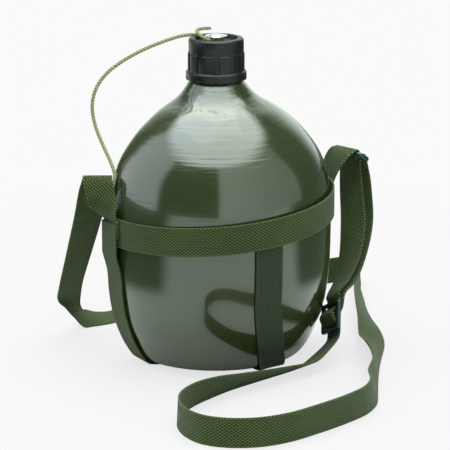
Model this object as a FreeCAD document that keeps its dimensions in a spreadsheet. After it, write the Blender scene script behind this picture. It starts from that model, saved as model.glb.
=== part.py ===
import FreeCAD, Part
import Sketcher
import math
import os
from FreeCAD import Matrix, Placement, Vector

# Aluminium water canteen with a D-shaped body, a screw cap on a cord and a webbing harness.
# Millimetres, +Z up. Origin: under the neck's axis, on the surface that the canteen stands on.
# The rounded front of the body faces -Y, its flatter back faces +Y.

os.makedirs("parts", exist_ok=True)
doc = FreeCAD.newDocument("canteen")

# Driving dimensions

SIZES = [
    ("webbing_width", 22.0, "width of all the webbing"),
    ("webbing_thickness", 1.4, "thickness of all the webbing"),
    ("webbing_gap", 0.25, "room between webbing and what it lies on"),
    ("body_swell", 0.25, "how far the body swells out between its measured sections"),
    ("body_half_width", 88.4, "neck axis to the side of the body, at its widest"),
    ("body_front_depth", 88.4, "neck axis to the rounded front"),
    ("body_back_depth", 36.1, "neck axis to the flatter back"),
    ("shoulder_top_height", 215.7, "floor to the top of the shoulder"),
    ("shoulder_top_radius", 20.0, "radius where the shoulder meets the neck"),
    ("shell_wall", 1.2, "sheet thickness of the body"),
    ("neck_radius", 17.2, "outside of the neck, under its thread"),
    ("neck_bore_radius", 14.5, "mouth of the canteen"),
    ("neck_height", 24.4, "shoulder to the rim of the neck"),
    ("neck_seat_thickness", 2.0, "ring that joins the neck to the shoulder"),
    ("neck_lip_radius", 0.9, "rounding of the neck's rim"),
    ("cap_radius", 21.0, "plain upper part of the cap"),
    ("cap_grip_radius", 21.6, "raised grip panels"),
    ("cap_collar_radius", 23.1, "collar round the cap's foot"),
    ("cap_foot_gap", 0.4, "shoulder to the foot of the closed cap"),
    ("cap_height", 31.3, "foot of the cap to its rim"),
    ("collar_height", 5.5, "straight outside of the collar"),
    ("collar_bevel", 1.2, "height of the bevel on the collar"),
    ("grip_height", 13.4, "height of the grip panels"),
    ("grip_step", 0.6, "slope at the upper end of the grip panels"),
    ("cap_bore_radius", 18.4, "inside of the cap, clear of the thread"),
    ("cap_rim_round", 1.8, "rounding of the cap's upper rim"),
    ("crown_recess_radius", 16.3, "round recess in the top of the cap"),
    ("crown_recess_depth", 3.0, "rim of the cap to the floor of the recess"),
    ("crown_thickness", 2.4, "plate under the recess"),
    ("flute_count", 10, "recesses round the grip"),
    ("flute_width", 5.0, "width of one recess"),
    ("flute_depth", 1.0, "depth of one recess"),
    ("flute_rise", 2.2, "how far a recess reaches above the grip panels"),
    ("flute_angle", -6.5, "turn of the first recess from +X, in degrees"),
    ("notch_width", 4.0, "width of one notch in the collar"),
    ("notch_depth", 0.5, "depth of one notch in the collar"),
    ("notch_height", 3.2, "height of one notch in the collar"),
    ("rivet_hole_radius", 3.2, "hole through cap, liner and washer"),
    ("rivet_shank_radius", 3.0, "shank of the rivet"),
    ("rivet_flange_radius", 8.5, "flange that holds the cord down"),
    ("rivet_flange_thickness", 1.0, "thickness of the flange"),
    ("rivet_flange_lift", 3.6, "floor of the recess to the flange's underside"),
    ("rivet_ring_radius", 5.8, "foot of the rivet's dome"),
    ("rivet_groove_depth", 0.35, "groove between the flange's rim and the dome"),
    ("rivet_dome_height", 1.3, "dome above the flange"),
    ("rivet_tail_radius", 5.2, "clinched lower head"),
    ("rivet_tail_height", 1.2, "thickness of the clinched head"),
    ("liner_radius", 18.1, "rubber sealing disc"),
    ("liner_thickness", 1.7, "thickness of the sealing disc"),
    ("washer_radius", 8.0, "washer under the sealing disc"),
    ("washer_thickness", 0.8, "thickness of that washer"),
    ("cord_diameter", 3.0, "twisted cap cord"),
    ("cord_loop_gap", 0.3, "room between the cord's loop and the rivet's shank"),
    ("band_height", 115.5, "floor to the middle of the girth band"),
    ("band_tilt", 4.8, "the band lies higher on the +X side, in degrees"),
    ("left_strap_turn", 4.9, "the left straps lie this far round towards the front, in degrees"),
    ("ring_rod", 4.0, "thickness of the bar ring"),
    ("ring_pitch", 9.0, "distance between the ring's two bars"),
    ("ring_inner_width", 25.5, "free width inside the bar ring"),
    ("slider_inner_width", 25.0, "free width inside the slider"),
    ("slider_rail", 3.0, "width of the slider's bars"),
    ("slider_thickness", 2.8, "thickness of the slider"),
    ("slider_pitch", 10.0, "middle bar to outer bar"),
    ("slider_corner", 2.5, "rounding of the slider's outer corners"),
]
sheet = doc.addObject("Spreadsheet::Sheet", "sizes")
for row, (name, value, meaning) in enumerate(SIZES, start=1):
    sheet.set("A%d" % row, name)
    sheet.set("B%d" % row, str(value))
    sheet.set("C%d" % row, meaning)
    sheet.setAlias("B%d" % row, name)
doc.recompute()


def size(name):
    """Value of one cell of the sheet."""
    return float(sheet.get(name))


width = size("webbing_width")
thick = size("webbing_thickness")
gap = size("webbing_gap")

# Derived heights and offsets

base_height = 2 * thick + 2 * gap          # two crossed straps lie under the body
cap_foot = size("shoulder_top_height") + size("cap_foot_gap")
cap_top = cap_foot + size("cap_height")
recess_floor = cap_top - size("crown_recess_depth")
crown_under = recess_floor - size("crown_thickness")
skin_offset = size("body_swell") + gap + thick / 2      # middle of a strap that lies on the body
tilt = math.radians(size("band_tilt"))
band_inner_half_width = size("body_half_width") + size("body_swell") + gap
band_outer_half_width = band_inner_half_width + thick
first_layer = band_outer_half_width + gap + thick / 2   # middle of a strap that lies on the band
second_layer = first_layer + thick + gap                # middle of a strap on top of that one
left_turn = math.radians(size("left_strap_turn"))


# Helpers for sketched and revolved pieces

def new_body(label):
    body = doc.addObject("PartDesign::Body", label)
    body.Label = label
    return body


def origin_plane(body, role):
    for feature in body.Origin.OriginFeatures:
        if feature.Role == role:
            return feature
    raise RuntimeError("no plane " + role)


def bound_outline(body, name, role, points, lift=None):
    """Closed sketch whose corners are placed by expressions, one pair for each corner."""
    sketch = body.newObject("Sketcher::SketchObject", name)
    sketch.AttachmentSupport = [(origin_plane(body, role), "")]
    sketch.MapMode = "FlatFace"
    if lift:
        sketch.setExpression("AttachmentOffset.Base.z", lift)
    values = [(evaluate(x), evaluate(y)) for x, y in points]
    count = len(points)
    for i in range(count):
        start = Vector(values[i][0], values[i][1], 0)
        end = Vector(values[(i + 1) % count][0], values[(i + 1) % count][1], 0)
        sketch.addGeometry(Part.LineSegment(start, end), False)
    for i in range(count):
        sketch.addConstraint(Sketcher.Constraint("Coincident", i, 2, (i + 1) % count, 1))
    for i, (x, y) in enumerate(points):
        place_corner(sketch, i, "DistanceX", x, values[i][0], -2)
        place_corner(sketch, i, "DistanceY", y, values[i][1], -1)
    return sketch


def place_corner(sketch, index, kind, expression, value, axis):
    if expression == "0":
        sketch.addConstraint(Sketcher.Constraint("PointOnObject", index, 1, axis))
        return
    number = sketch.addConstraint(Sketcher.Constraint(kind, -1, 1, index, 1, value))
    sketch.setExpression("Constraints[%d]" % number, expression)


def evaluate(expression):
    """Number that an expression on the sheet gives, used to draw the sketch near its place."""
    if expression == "0":
        return 0.0
    names = {row[0]: size(row[0]) for row in SIZES}
    total = 0.0
    for term in expression.replace("- ", "+ -").split("+ "):
        sign = 1.0
        term = term.strip()
        if term.startswith("-"):
            sign = -1.0
            term = term[1:]
        product = 1.0
        for factor in term.split("*"):
            factor = factor.strip().replace("sizes.", "")
            if "/" in factor:
                top, bottom = factor.split("/")
                product *= names[top.strip()] / float(bottom)
            elif factor in names:
                product *= names[factor]
            else:
                product *= float(factor)
        total += sign * product
    return total


def revolve(body, sketch, name="Revolution"):
    feature = body.newObject("PartDesign::Revolution", name)
    feature.Profile = sketch
    feature.ReferenceAxis = (sketch, ["V_Axis"])
    feature.Angle = 360.0
    doc.recompute()
    return feature


def circle_edges(feature, radius, height):
    """Names of the round edges of a feature at one radius and one height."""
    found = []
    for number, edge in enumerate(feature.Shape.Edges, start=1):
        curve = edge.Curve
        if not isinstance(curve, Part.Circle):
            continue
        if abs(curve.Radius - radius) < 0.01 and abs(curve.Center.z - height) < 0.01:
            found.append("Edge%d" % number)
    return found


def round_edges(body, feature, edges, name, radius):
    fillet = body.newObject("PartDesign::Fillet", name)
    fillet.Base = (feature, edges)
    fillet.setExpression("Radius", radius)
    doc.recompute()
    return fillet


def s(name):
    """Reference to a cell of the sheet, for expressions."""
    return "sizes." + name


# Body of the canteen: D-shaped sections on a curved profile

PROFILE = [
    (0.00, 0.64), (0.012, 0.69), (0.035, 0.745), (0.0746, 0.81), (0.1675, 0.922), (0.29, 0.98),
    (0.435, 0.997), (0.58, 0.991), (0.703, 0.908), (0.806, 0.708), (0.8886, 0.428), (0.947, 0.14),
    (1.00, 0.0),
]
body_height = size("shoulder_top_height") - base_height
profile = Part.BSplineCurve()
profile.interpolate([Vector(share, fraction, 0) for fraction, share in PROFILE])


def profile_at(fraction_of_length):
    """Height, share of the full width, and slope direction of the profile."""
    first, last = profile.FirstParameter, profile.LastParameter
    at = first + (last - first) * fraction_of_length
    point = profile.value(at)
    along = profile.tangent(at)[0]
    return base_height + point.y * body_height, point.x, along


def spread(share, full):
    """Half size of a section whose share of the full size is given."""
    least = size("shoulder_top_radius")
    return least + (full - least) * share


def share_at(height):
    """Share of the full width at one height of the body."""
    low, high = 0.0, 1.0
    for _ in range(40):
        middle = (low + high) / 2
        if profile_at(middle)[0] < height:
            low = middle
        else:
            high = middle
    return profile_at((low + high) / 2)[1]


def half_width_at(height):
    return spread(share_at(height), size("body_half_width"))


def front_at(height):
    return spread(share_at(height), size("body_front_depth"))


def back_at(height):
    return spread(share_at(height), size("body_back_depth"))


def d_section(half_width, front, back, height):
    """Closed wire of two half ellipses that meet smoothly at the sides."""
    halves = []
    for depth, start in ((front, 180), (back, 0)):
        half = Part.makeCircle(1.0, Vector(0, 0, 0), Vector(0, 0, 1), start, start + 180)
        stretch = Matrix()
        stretch.scale(half_width, depth, 1.0)
        shifted = half.transformGeometry(stretch)
        shifted.translate(Vector(0, 0, height))
        halves.append(shifted)
    return Part.Wire(halves)


STATIONS = 24


def body_form(wall):
    """Solid of the body, moved inwards by a wall thickness along the profile's normal."""
    wires = []
    full_width = size("body_half_width")
    for number in range(STATIONS + 1):
        height, share, along = profile_at(number / STATIONS)
        run = along.x * (full_width - size("shoulder_top_radius"))
        rise = along.y * body_height
        length = math.hypot(run, rise)
        inward = wall * rise / length
        drop = -wall * run / length
        if number == 0:
            inward, drop = wall, -wall
        if number == STATIONS:
            inward, drop = wall, 0.0
        wires.append(d_section(
            spread(share, full_width) - inward,
            spread(share, size("body_front_depth")) - inward,
            spread(share, size("body_back_depth")) - inward,
            height - drop))
    return Part.makeLoft(wires, True, False)


outer_form = doc.addObject("Part::Feature", "body_outside")
outer_form.Shape = body_form(0.0)
inner_form = doc.addObject("Part::Feature", "body_inside")
inner_form.Shape = body_form(size("shell_wall"))
shell = doc.addObject("Part::Cut", "body_shell")
shell.Base = outer_form
shell.Tool = inner_form

neck = new_body("neck")
seat_low = s("shoulder_top_height") + " - " + s("neck_seat_thickness")
neck_top = s("shoulder_top_height") + " + " + s("neck_height")
neck_sketch = bound_outline(neck, "neck_section", "XZ_Plane", [
    (s("neck_bore_radius"), seat_low),
    (s("shoulder_top_radius") + " - 0.5*" + s("shell_wall"), seat_low),
    (s("shoulder_top_radius") + " - 0.5*" + s("shell_wall"), s("shoulder_top_height")),
    (s("neck_radius"), s("shoulder_top_height")),
    (s("neck_radius"), neck_top),
    (s("neck_bore_radius"), neck_top),
])
neck_turned = revolve(neck, neck_sketch, "neck_turned")
neck_rim = size("shoulder_top_height") + size("neck_height")
neck_round = round_edges(
    neck, neck_turned,
    circle_edges(neck_turned, size("neck_radius"), neck_rim)
    + circle_edges(neck_turned, size("neck_bore_radius"), neck_rim),
    "neck_lip", s("neck_lip_radius"))
neck.Tip = neck_round

mouth = doc.addObject("Part::Cylinder", "mouth")
mouth.setExpression("Radius", s("neck_bore_radius"))
mouth.setExpression("Height", "2*" + s("neck_seat_thickness") + " + " + s("shell_wall"))
mouth.setExpression("Placement.Base.z", s("shoulder_top_height") + " - 2*" + s("neck_seat_thickness"))
open_shell = doc.addObject("Part::Cut", "open_shell")
open_shell.Base = shell
open_shell.Tool = mouth
bottle = doc.addObject("Part::Fuse", "bottle")
bottle.Base = open_shell
bottle.Tool = neck
bottle.Label = "bottle"

# Screw cap: turned form, grip recesses, collar notches

cap = new_body("cap_shell")
foot = s("shoulder_top_height") + " + " + s("cap_foot_gap")
collar_top = foot + " + " + s("collar_height")
grip_low = collar_top + " + " + s("collar_bevel")
grip_top = grip_low + " + " + s("grip_height")
rim = foot + " + " + s("cap_height")
floor_of_recess = rim + " - " + s("crown_recess_depth")
under_crown = floor_of_recess + " - " + s("crown_thickness")
cap_sketch = bound_outline(cap, "cap_section", "XZ_Plane", [
    (s("cap_bore_radius"), foot),
    (s("cap_collar_radius"), foot),
    (s("cap_collar_radius"), collar_top),
    (s("cap_grip_radius"), grip_low),
    (s("cap_grip_radius"), grip_top + " - " + s("grip_step")),
    (s("cap_radius"), grip_top),
    (s("cap_radius"), rim),
    (s("crown_recess_radius"), rim),
    (s("crown_recess_radius"), floor_of_recess),
    (s("rivet_hole_radius"), floor_of_recess),
    (s("rivet_hole_radius"), under_crown),
    (s("cap_bore_radius"), under_crown),
])
cap_turned = revolve(cap, cap_sketch, "cap_turned")
cap_rim = round_edges(cap, cap_turned, circle_edges(cap_turned, size("cap_radius"), cap_top),
                      "cap_rim", s("cap_rim_round"))


def ring_of_pockets(body, name, inner, outer, half, lift, depth):
    """One radial pocket cut downwards from a height, repeated round the cap."""
    sketch = bound_outline(body, name + "_outline", "XY_Plane", [
        (inner, "-0.5*" + half), (outer, "-0.5*" + half), (outer, "0.5*" + half), (inner, "0.5*" + half),
    ], lift)
    sketch.setExpression("AttachmentOffset.Rotation.Angle", s("flute_angle"))
    pocket = body.newObject("PartDesign::Pocket", name)
    pocket.Profile = sketch
    pocket.setExpression("Length", depth)
    doc.recompute()
    pattern = body.newObject("PartDesign::PolarPattern", name + "_round")
    pattern.Originals = [pocket]
    pattern.Axis = (sketch, ["N_Axis"])
    pattern.Angle = 360.0
    pattern.setExpression("Occurrences", s("flute_count"))
    body.Tip = pattern
    doc.recompute()
    return pattern


before = cap.Shape.Volume
flutes = ring_of_pockets(
    cap, "flute", s("cap_grip_radius") + " - " + s("flute_depth"), s("cap_grip_radius") + " + 1.0",
    s("flute_width"), grip_top + " + " + s("flute_rise"), s("grip_height") + " + " + s("flute_rise"))
notches = ring_of_pockets(
    cap, "notch", s("cap_collar_radius") + " - " + s("notch_depth"), s("cap_collar_radius") + " + 1.0",
    s("notch_width"), foot + " + " + s("notch_height"), s("notch_height"))
print("cap cuts take", round(before - cap.Shape.Volume, 1), "mm3")

# Sealing disc, rivet and washer of the cap

liner = new_body("cap_seal")
liner_low = under_crown + " - " + s("liner_thickness")
liner_sketch = bound_outline(liner, "liner_section", "XZ_Plane", [
    (s("rivet_hole_radius"), liner_low),
    (s("liner_radius"), liner_low),
    (s("liner_radius"), under_crown),
    (s("rivet_hole_radius"), under_crown),
])
revolve(liner, liner_sketch, "liner_turned")

washer = new_body("cap_washer")
washer_low = liner_low + " - " + s("washer_thickness")
washer_sketch = bound_outline(washer, "washer_section", "XZ_Plane", [
    (s("rivet_hole_radius"), washer_low),
    (s("washer_radius"), washer_low),
    (s("washer_radius"), liner_low),
    (s("rivet_hole_radius"), liner_low),
])
revolve(washer, washer_sketch, "washer_turned")

rivet = new_body("cap_rivet")
flange_low = floor_of_recess + " + " + s("rivet_flange_lift")
flange_top = flange_low + " + " + s("rivet_flange_thickness")
tail_low = washer_low + " - " + s("rivet_tail_height")
rivet_sketch = bound_outline(rivet, "rivet_section", "XZ_Plane", [
    ("0", tail_low),
    (s("rivet_tail_radius"), tail_low),
    (s("rivet_tail_radius"), washer_low),
    (s("rivet_shank_radius"), washer_low),
    (s("rivet_shank_radius"), flange_low),
    (s("rivet_flange_radius"), flange_low),
    (s("rivet_flange_radius"), flange_top),
    (s("rivet_ring_radius") + " + 4*" + s("rivet_groove_depth"), flange_top),
    (s("rivet_ring_radius") + " + 2*" + s("rivet_groove_depth"), flange_top + " - " + s("rivet_groove_depth")),
    (s("rivet_ring_radius"), flange_top),
    (s("rivet_ring_radius") + " - 0.18*" + s("rivet_ring_radius"), flange_top + " + 0.55*" + s("rivet_dome_height")),
    (s("rivet_ring_radius") + " - 0.5*" + s("rivet_ring_radius"), flange_top + " + 0.9*" + s("rivet_dome_height")),
    ("0", flange_top + " + " + s("rivet_dome_height")),
])
revolve(rivet, rivet_sketch, "rivet_turned")

# Webbing: smooth ribbons through stations chosen by hand

FLOOR = None                               # height of a station that rests on the floor


def width_direction(turn, lean):
    """Unit vector across the strap: its heading in plan and its slope, in degrees."""
    flat = math.cos(math.radians(lean))
    return Vector(flat * math.cos(math.radians(turn)), flat * math.sin(math.radians(turn)),
                  math.sin(math.radians(lean)))


def station(x, y, z, turn, lean, slant=0.0):
    """Centre of the strap, direction across it, and how much of a slant to its run is kept."""
    across = width_direction(turn, lean)
    if z is FLOOR:
        level = math.hypot(across.x, across.y)
        z = abs(across.z) * width / 2 + level * thick / 2 + 0.1
    return Vector(x, y, z), across, slant


def knots_of(points):
    """Running lengths between stations, to the power of one half, for an even curve."""
    knots = [0.0]
    for before_point, point in zip(points, points[1:]):
        knots.append(knots[-1] + math.sqrt((point - before_point).Length))
    return knots


def curve_value(values, knots, i, at):
    """Value between stations i and i + 1 of a smooth curve that passes every station."""
    def slope(k):
        if k == 0:
            return (values[1] - values[0]) * (1.0 / (knots[1] - knots[0]))
        if k == len(values) - 1:
            return (values[k] - values[k - 1]) * (1.0 / (knots[k] - knots[k - 1]))
        before_step = knots[k] - knots[k - 1]
        after_step = knots[k + 1] - knots[k]
        before_slope = (values[k] - values[k - 1]) * (1.0 / before_step)
        after_slope = (values[k + 1] - values[k]) * (1.0 / after_step)
        return (before_slope * after_step + after_slope * before_step) * (1.0 / (before_step + after_step))

    step = knots[i + 1] - knots[i]
    share = (at - knots[i]) / step
    square = share * share
    cube = square * share
    return (values[i] * (2 * cube - 3 * square + 1) + slope(i) * (step * (cube - 2 * square + share))
            + values[i + 1] * (3 * square - 2 * cube) + slope(i + 1) * (step * (cube - square)))


def bend_between(values, i):
    """Turn of the line over one span, in degrees."""
    before_step = values[i] - values[max(i - 1, 0)]
    step = values[i + 1] - values[i]
    after_step = values[min(i + 2, len(values) - 1)] - values[i + 1]
    bend = 0.0
    for first, second in ((before_step, step), (step, after_step)):
        if first.Length > 0 and second.Length > 0:
            bend += math.degrees(first.getAngle(second)) / 2
    return bend


def ribbon_line(stations, longest_step=4.5, largest_bend=16.0):
    """Run of centre points and unit width directions along a strap, closer where it bends."""
    points = [entry[0] for entry in stations]
    sides = [entry[1] for entry in stations]
    slants = [entry[2] for entry in stations]
    knots = knots_of(points)
    line = []
    for i in range(len(points) - 1):
        pieces = max(1, math.ceil((points[i + 1] - points[i]).Length / longest_step),
                     math.ceil(bend_between(points, i) / largest_bend))
        for j in range(pieces):
            at = knots[i] + (knots[i + 1] - knots[i]) * j / pieces
            slant = slants[i] + (slants[i + 1] - slants[i]) * j / pieces
            line.append((curve_value(points, knots, i, at), curve_value(sides, knots, i, at), slant))
    line.append((points[-1], sides[-1], slants[-1]))
    result = []
    for number, (point, side, slant) in enumerate(line):
        ahead = line[min(number + 1, len(line) - 1)][0]
        behind = line[max(number - 1, 0)][0]
        along = (ahead - behind).normalize()
        across = (side - along * (side.dot(along) * (1.0 - slant))).normalize()
        normal = along.cross(across).normalize()
        least = abs(across.z) * width / 2 + abs(normal.z) * thick / 2
        point = Vector(point.x, point.y, max(point.z, least))
        result.append((point, across, normal))
    return result


def ribbon(label, stations):
    """Solid strap of the webbing's width and thickness along a line of stations."""
    wires = []
    length = 0.0
    previous = None
    for point, across, normal in ribbon_line(stations):
        half_side = across * (width / 2)
        half_face = normal * (thick / 2)
        corners = [point - half_side - half_face, point + half_side - half_face,
                   point + half_side + half_face, point - half_side + half_face]
        wires.append(Part.makePolygon(corners + corners[:1]))
        if previous is not None:
            length += (point - previous).Length
        previous = point
    feature = doc.addObject("Part::Feature", label)
    feature.Shape = Part.makeLoft(wires, True, True)
    feature.Label = label
    share = feature.Shape.Volume / (length * width * thick)
    print(label, "length", round(length, 1), "volume share", round(share, 3))
    return feature


# Girth band: a D-shaped hoop that lies a little higher on the right

def edge_rise(radius):
    """How far the edges of a flat strap stand off a round form that its middle touches."""
    return width ** 2 / (8 * radius)


def band_top_at(x):
    """Height of the band's upper edge."""
    return size("band_height") + math.tan(tilt) * x + width / 2


back_radius = size("body_half_width") ** 2 / size("body_back_depth")
strap_layer = size("body_swell") + gap + thick + gap
band_front = size("body_front_depth") + strap_layer + edge_rise(size("body_front_depth"))
band_back = size("body_back_depth") + strap_layer + edge_rise(back_radius)
hoop_outer = Part.Face(d_section(band_outer_half_width, band_front + thick, band_back + thick, -width / 2))
hoop_inner = Part.Face(d_section(band_inner_half_width, band_front, band_back, -width / 2))
slope = Matrix()
slope.A31 = math.tan(tilt)
slope.A34 = size("band_height")
band = doc.addObject("Part::Feature", "girth_band")
band.Shape = hoop_outer.cut(hoop_inner).extrude(Vector(0, 0, width)).transformGeometry(slope)
band.Label = "girth_band"

# Front strap: from the band down the front, under the body and up the back

lower_layer = thick / 2                    # middle of the strap that lies on the floor
upper_layer = 1.5 * thick + gap            # middle of the strap that crosses over it
front_start = 2.0                          # middle of the strap at the band
front_skew = 14.0                          # the strap wanders towards +X on its way down
skew_height = 60.0                         # height over which it does so


def front_strap_stations():
    top = size("band_height") + width * 0.42
    low = base_height + body_height * 0.05
    stations = []
    steps = 12
    for number in range(steps + 1):
        height = top + (low - top) * number / steps
        x = front_start + front_skew * max(0.0, 1 - (height - base_height) / skew_height) ** 1.7
        depth = front_at(height) + skin_offset
        y = -depth * math.sqrt(1 - (x / (half_width_at(height) + skin_offset)) ** 2)
        stations.append(station(x, y, height, math.degrees(math.asin(x / depth)), 0))
    edge_front = front_at(base_height + 0.5)
    edge_back = back_at(base_height + 0.5)
    turned = front_start + front_skew
    stations.append(station(turned, -edge_front - 1.0, base_height + 0.4, 12, 0))
    stations.append(station(turned, -edge_front + 5.0, lower_layer + 0.7, 10, 0))
    stations.append(station(turned, -edge_front + 11.0, lower_layer, 8, 0))
    stations.append(station(turned, -edge_front + 18.0, lower_layer + 0.2, 5, 0))
    stations.append(station(front_skew * 0.9, -width * 0.95, upper_layer - 0.2, 3, 0))
    stations.append(station(front_skew * 0.7, -width * 0.5, upper_layer, 0, 0))
    stations.append(station(front_skew * 0.5, 0, upper_layer, 0, 0))
    stations.append(station(front_skew * 0.3, width * 0.5, upper_layer, 0, 0))
    stations.append(station(front_skew * 0.2, edge_back - 8.0, upper_layer - 0.5, 0, 0))
    stations.append(station(front_skew * 0.1, edge_back - 1.0, lower_layer + 0.5, 0, 0))
    stations.append(station(0, edge_back + 2.1, base_height + 0.6, 0, 0))
    for number in range(steps + 1):
        height = low + (top - low) * number / steps
        stations.append(station(0, back_at(height) + skin_offset, height, 0, 0))
    return stations


front_strap = ribbon("front_strap", front_strap_stations())

# Side strap: from the band down the left side, under the body and up the right side


def left_station(reach, height):
    """Station on the left side, at a distance from the neck's axis."""
    return station(-reach * math.cos(left_turn), -reach * math.sin(left_turn), height,
                   -90 + size("left_strap_turn"), 0)


def side_strap_stations():
    left_top = band_top_at(-second_layer) - width * 0.17
    right_top = band_top_at(first_layer) - width * 0.08
    left_under = left_top - width * 1.1
    right_under = right_top - width * 1.1
    low = base_height + body_height * 0.05
    settle = 3.0
    stations = [left_station(second_layer, left_top), left_station(second_layer, left_under + settle),
                left_station(second_layer, left_under)]
    steps = 5
    first_step = (left_under - low) / steps
    for number in range(1, steps + 1):
        height = left_under - first_step * number
        stations.append(left_station(half_width_at(height) + skin_offset, height))
    edge = half_width_at(base_height + 0.5)
    stations.append(left_station(edge + 1.5, base_height - 0.3))
    stations.append(left_station(edge - 4.0, lower_layer + 0.7))
    left_foot = left_station(edge - 9.0, lower_layer)
    right_foot = station(edge - 9.0, 0, lower_layer, -90, 0)
    stations.append(left_foot)
    for share in (0.3, 0.4, 0.6, 0.7):     # straight between the feet, so its underside is one plane
        point = left_foot[0] + (right_foot[0] - left_foot[0]) * share
        stations.append(station(point.x, point.y, lower_layer, -90 + size("left_strap_turn") / 2, 0))
    stations.append(right_foot)
    stations.append(station(edge - 4.0, 0, lower_layer + 0.7, -90, 0))
    stations.append(station(edge + 1.5, 0, base_height - 0.3, -90, 0))
    for number in range(steps):
        height = low + (right_under - low) * number / steps
        stations.append(station(half_width_at(height) + skin_offset, 0, height, -90, 0))
    stations.append(station(first_layer, 0, right_under, -90, 0))
    stations.append(station(first_layer, 0, right_under + settle, -90, 0))
    stations.append(station(first_layer, 0, right_top, -90, 0))
    return stations


side_strap = ribbon("side_strap", side_strap_stations())

# Frames of the two strap fittings: centre, direction across the strap, direction along it

slider_centre = Vector(70.6, -57.4, 33.3)
slider_across = width_direction(-90, 27)
slider_along = Vector(0.232, 0.424, 0.875)
slider_along = (slider_along - slider_across * slider_along.dot(slider_across)).normalize()
slider_out = slider_along.cross(slider_across)

ring_low_bar = Vector(117.3, -2.9, 144.0)
ring_across = width_direction(-71, 0)
ring_level = Vector(0, 0, 1).cross(ring_across)
ring_along = ring_level * -0.85 + Vector(0, 0, 1) * 0.53
ring_along.normalize()
ring_high_bar = ring_low_bar + ring_along * size("ring_pitch")
bar_room = 0.5                             # room between a fitting's bars and the webbing round them
rod_turn = size("ring_rod") / 2 + bar_room + thick / 2


def by_slider(along, out):
    """Station near the slider, from its distances along the strap and out of the slider's plane."""
    return slider_centre + slider_along * along + slider_out * out, slider_across, 0.0


def by_ring(bar, degrees):
    """Station on the turn round one bar of the ring."""
    level = math.cos(math.radians(degrees)) * rod_turn
    rise = math.sin(math.radians(degrees)) * rod_turn
    return bar + ring_level * level + Vector(0, 0, 1) * rise, ring_across, 0.0


# Shoulder strap: sewn on at the left, folded over, laid round the back and the front on the floor,
# through the slider, up round the ring and back to the slider's middle bar

pitch = size("slider_pitch")
half_rail = size("slider_rail") / 2
half_plate = size("slider_thickness") / 2
hook_along = half_rail + bar_room + thick / 2           # half sizes of the hook round the middle bar
hook_out = half_plate + bar_room + thick / 2
hook_diagonal = 0.8                        # where the hook passes the bar's corner, as a share of both
over_bar = -(hook_out + thick + gap)
under_rail = half_plate + bar_room + thick / 2
outside_rail = under_rail + thick + gap + 1.1
rail_corner = pitch - half_rail            # inner edge of an outer rail

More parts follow.
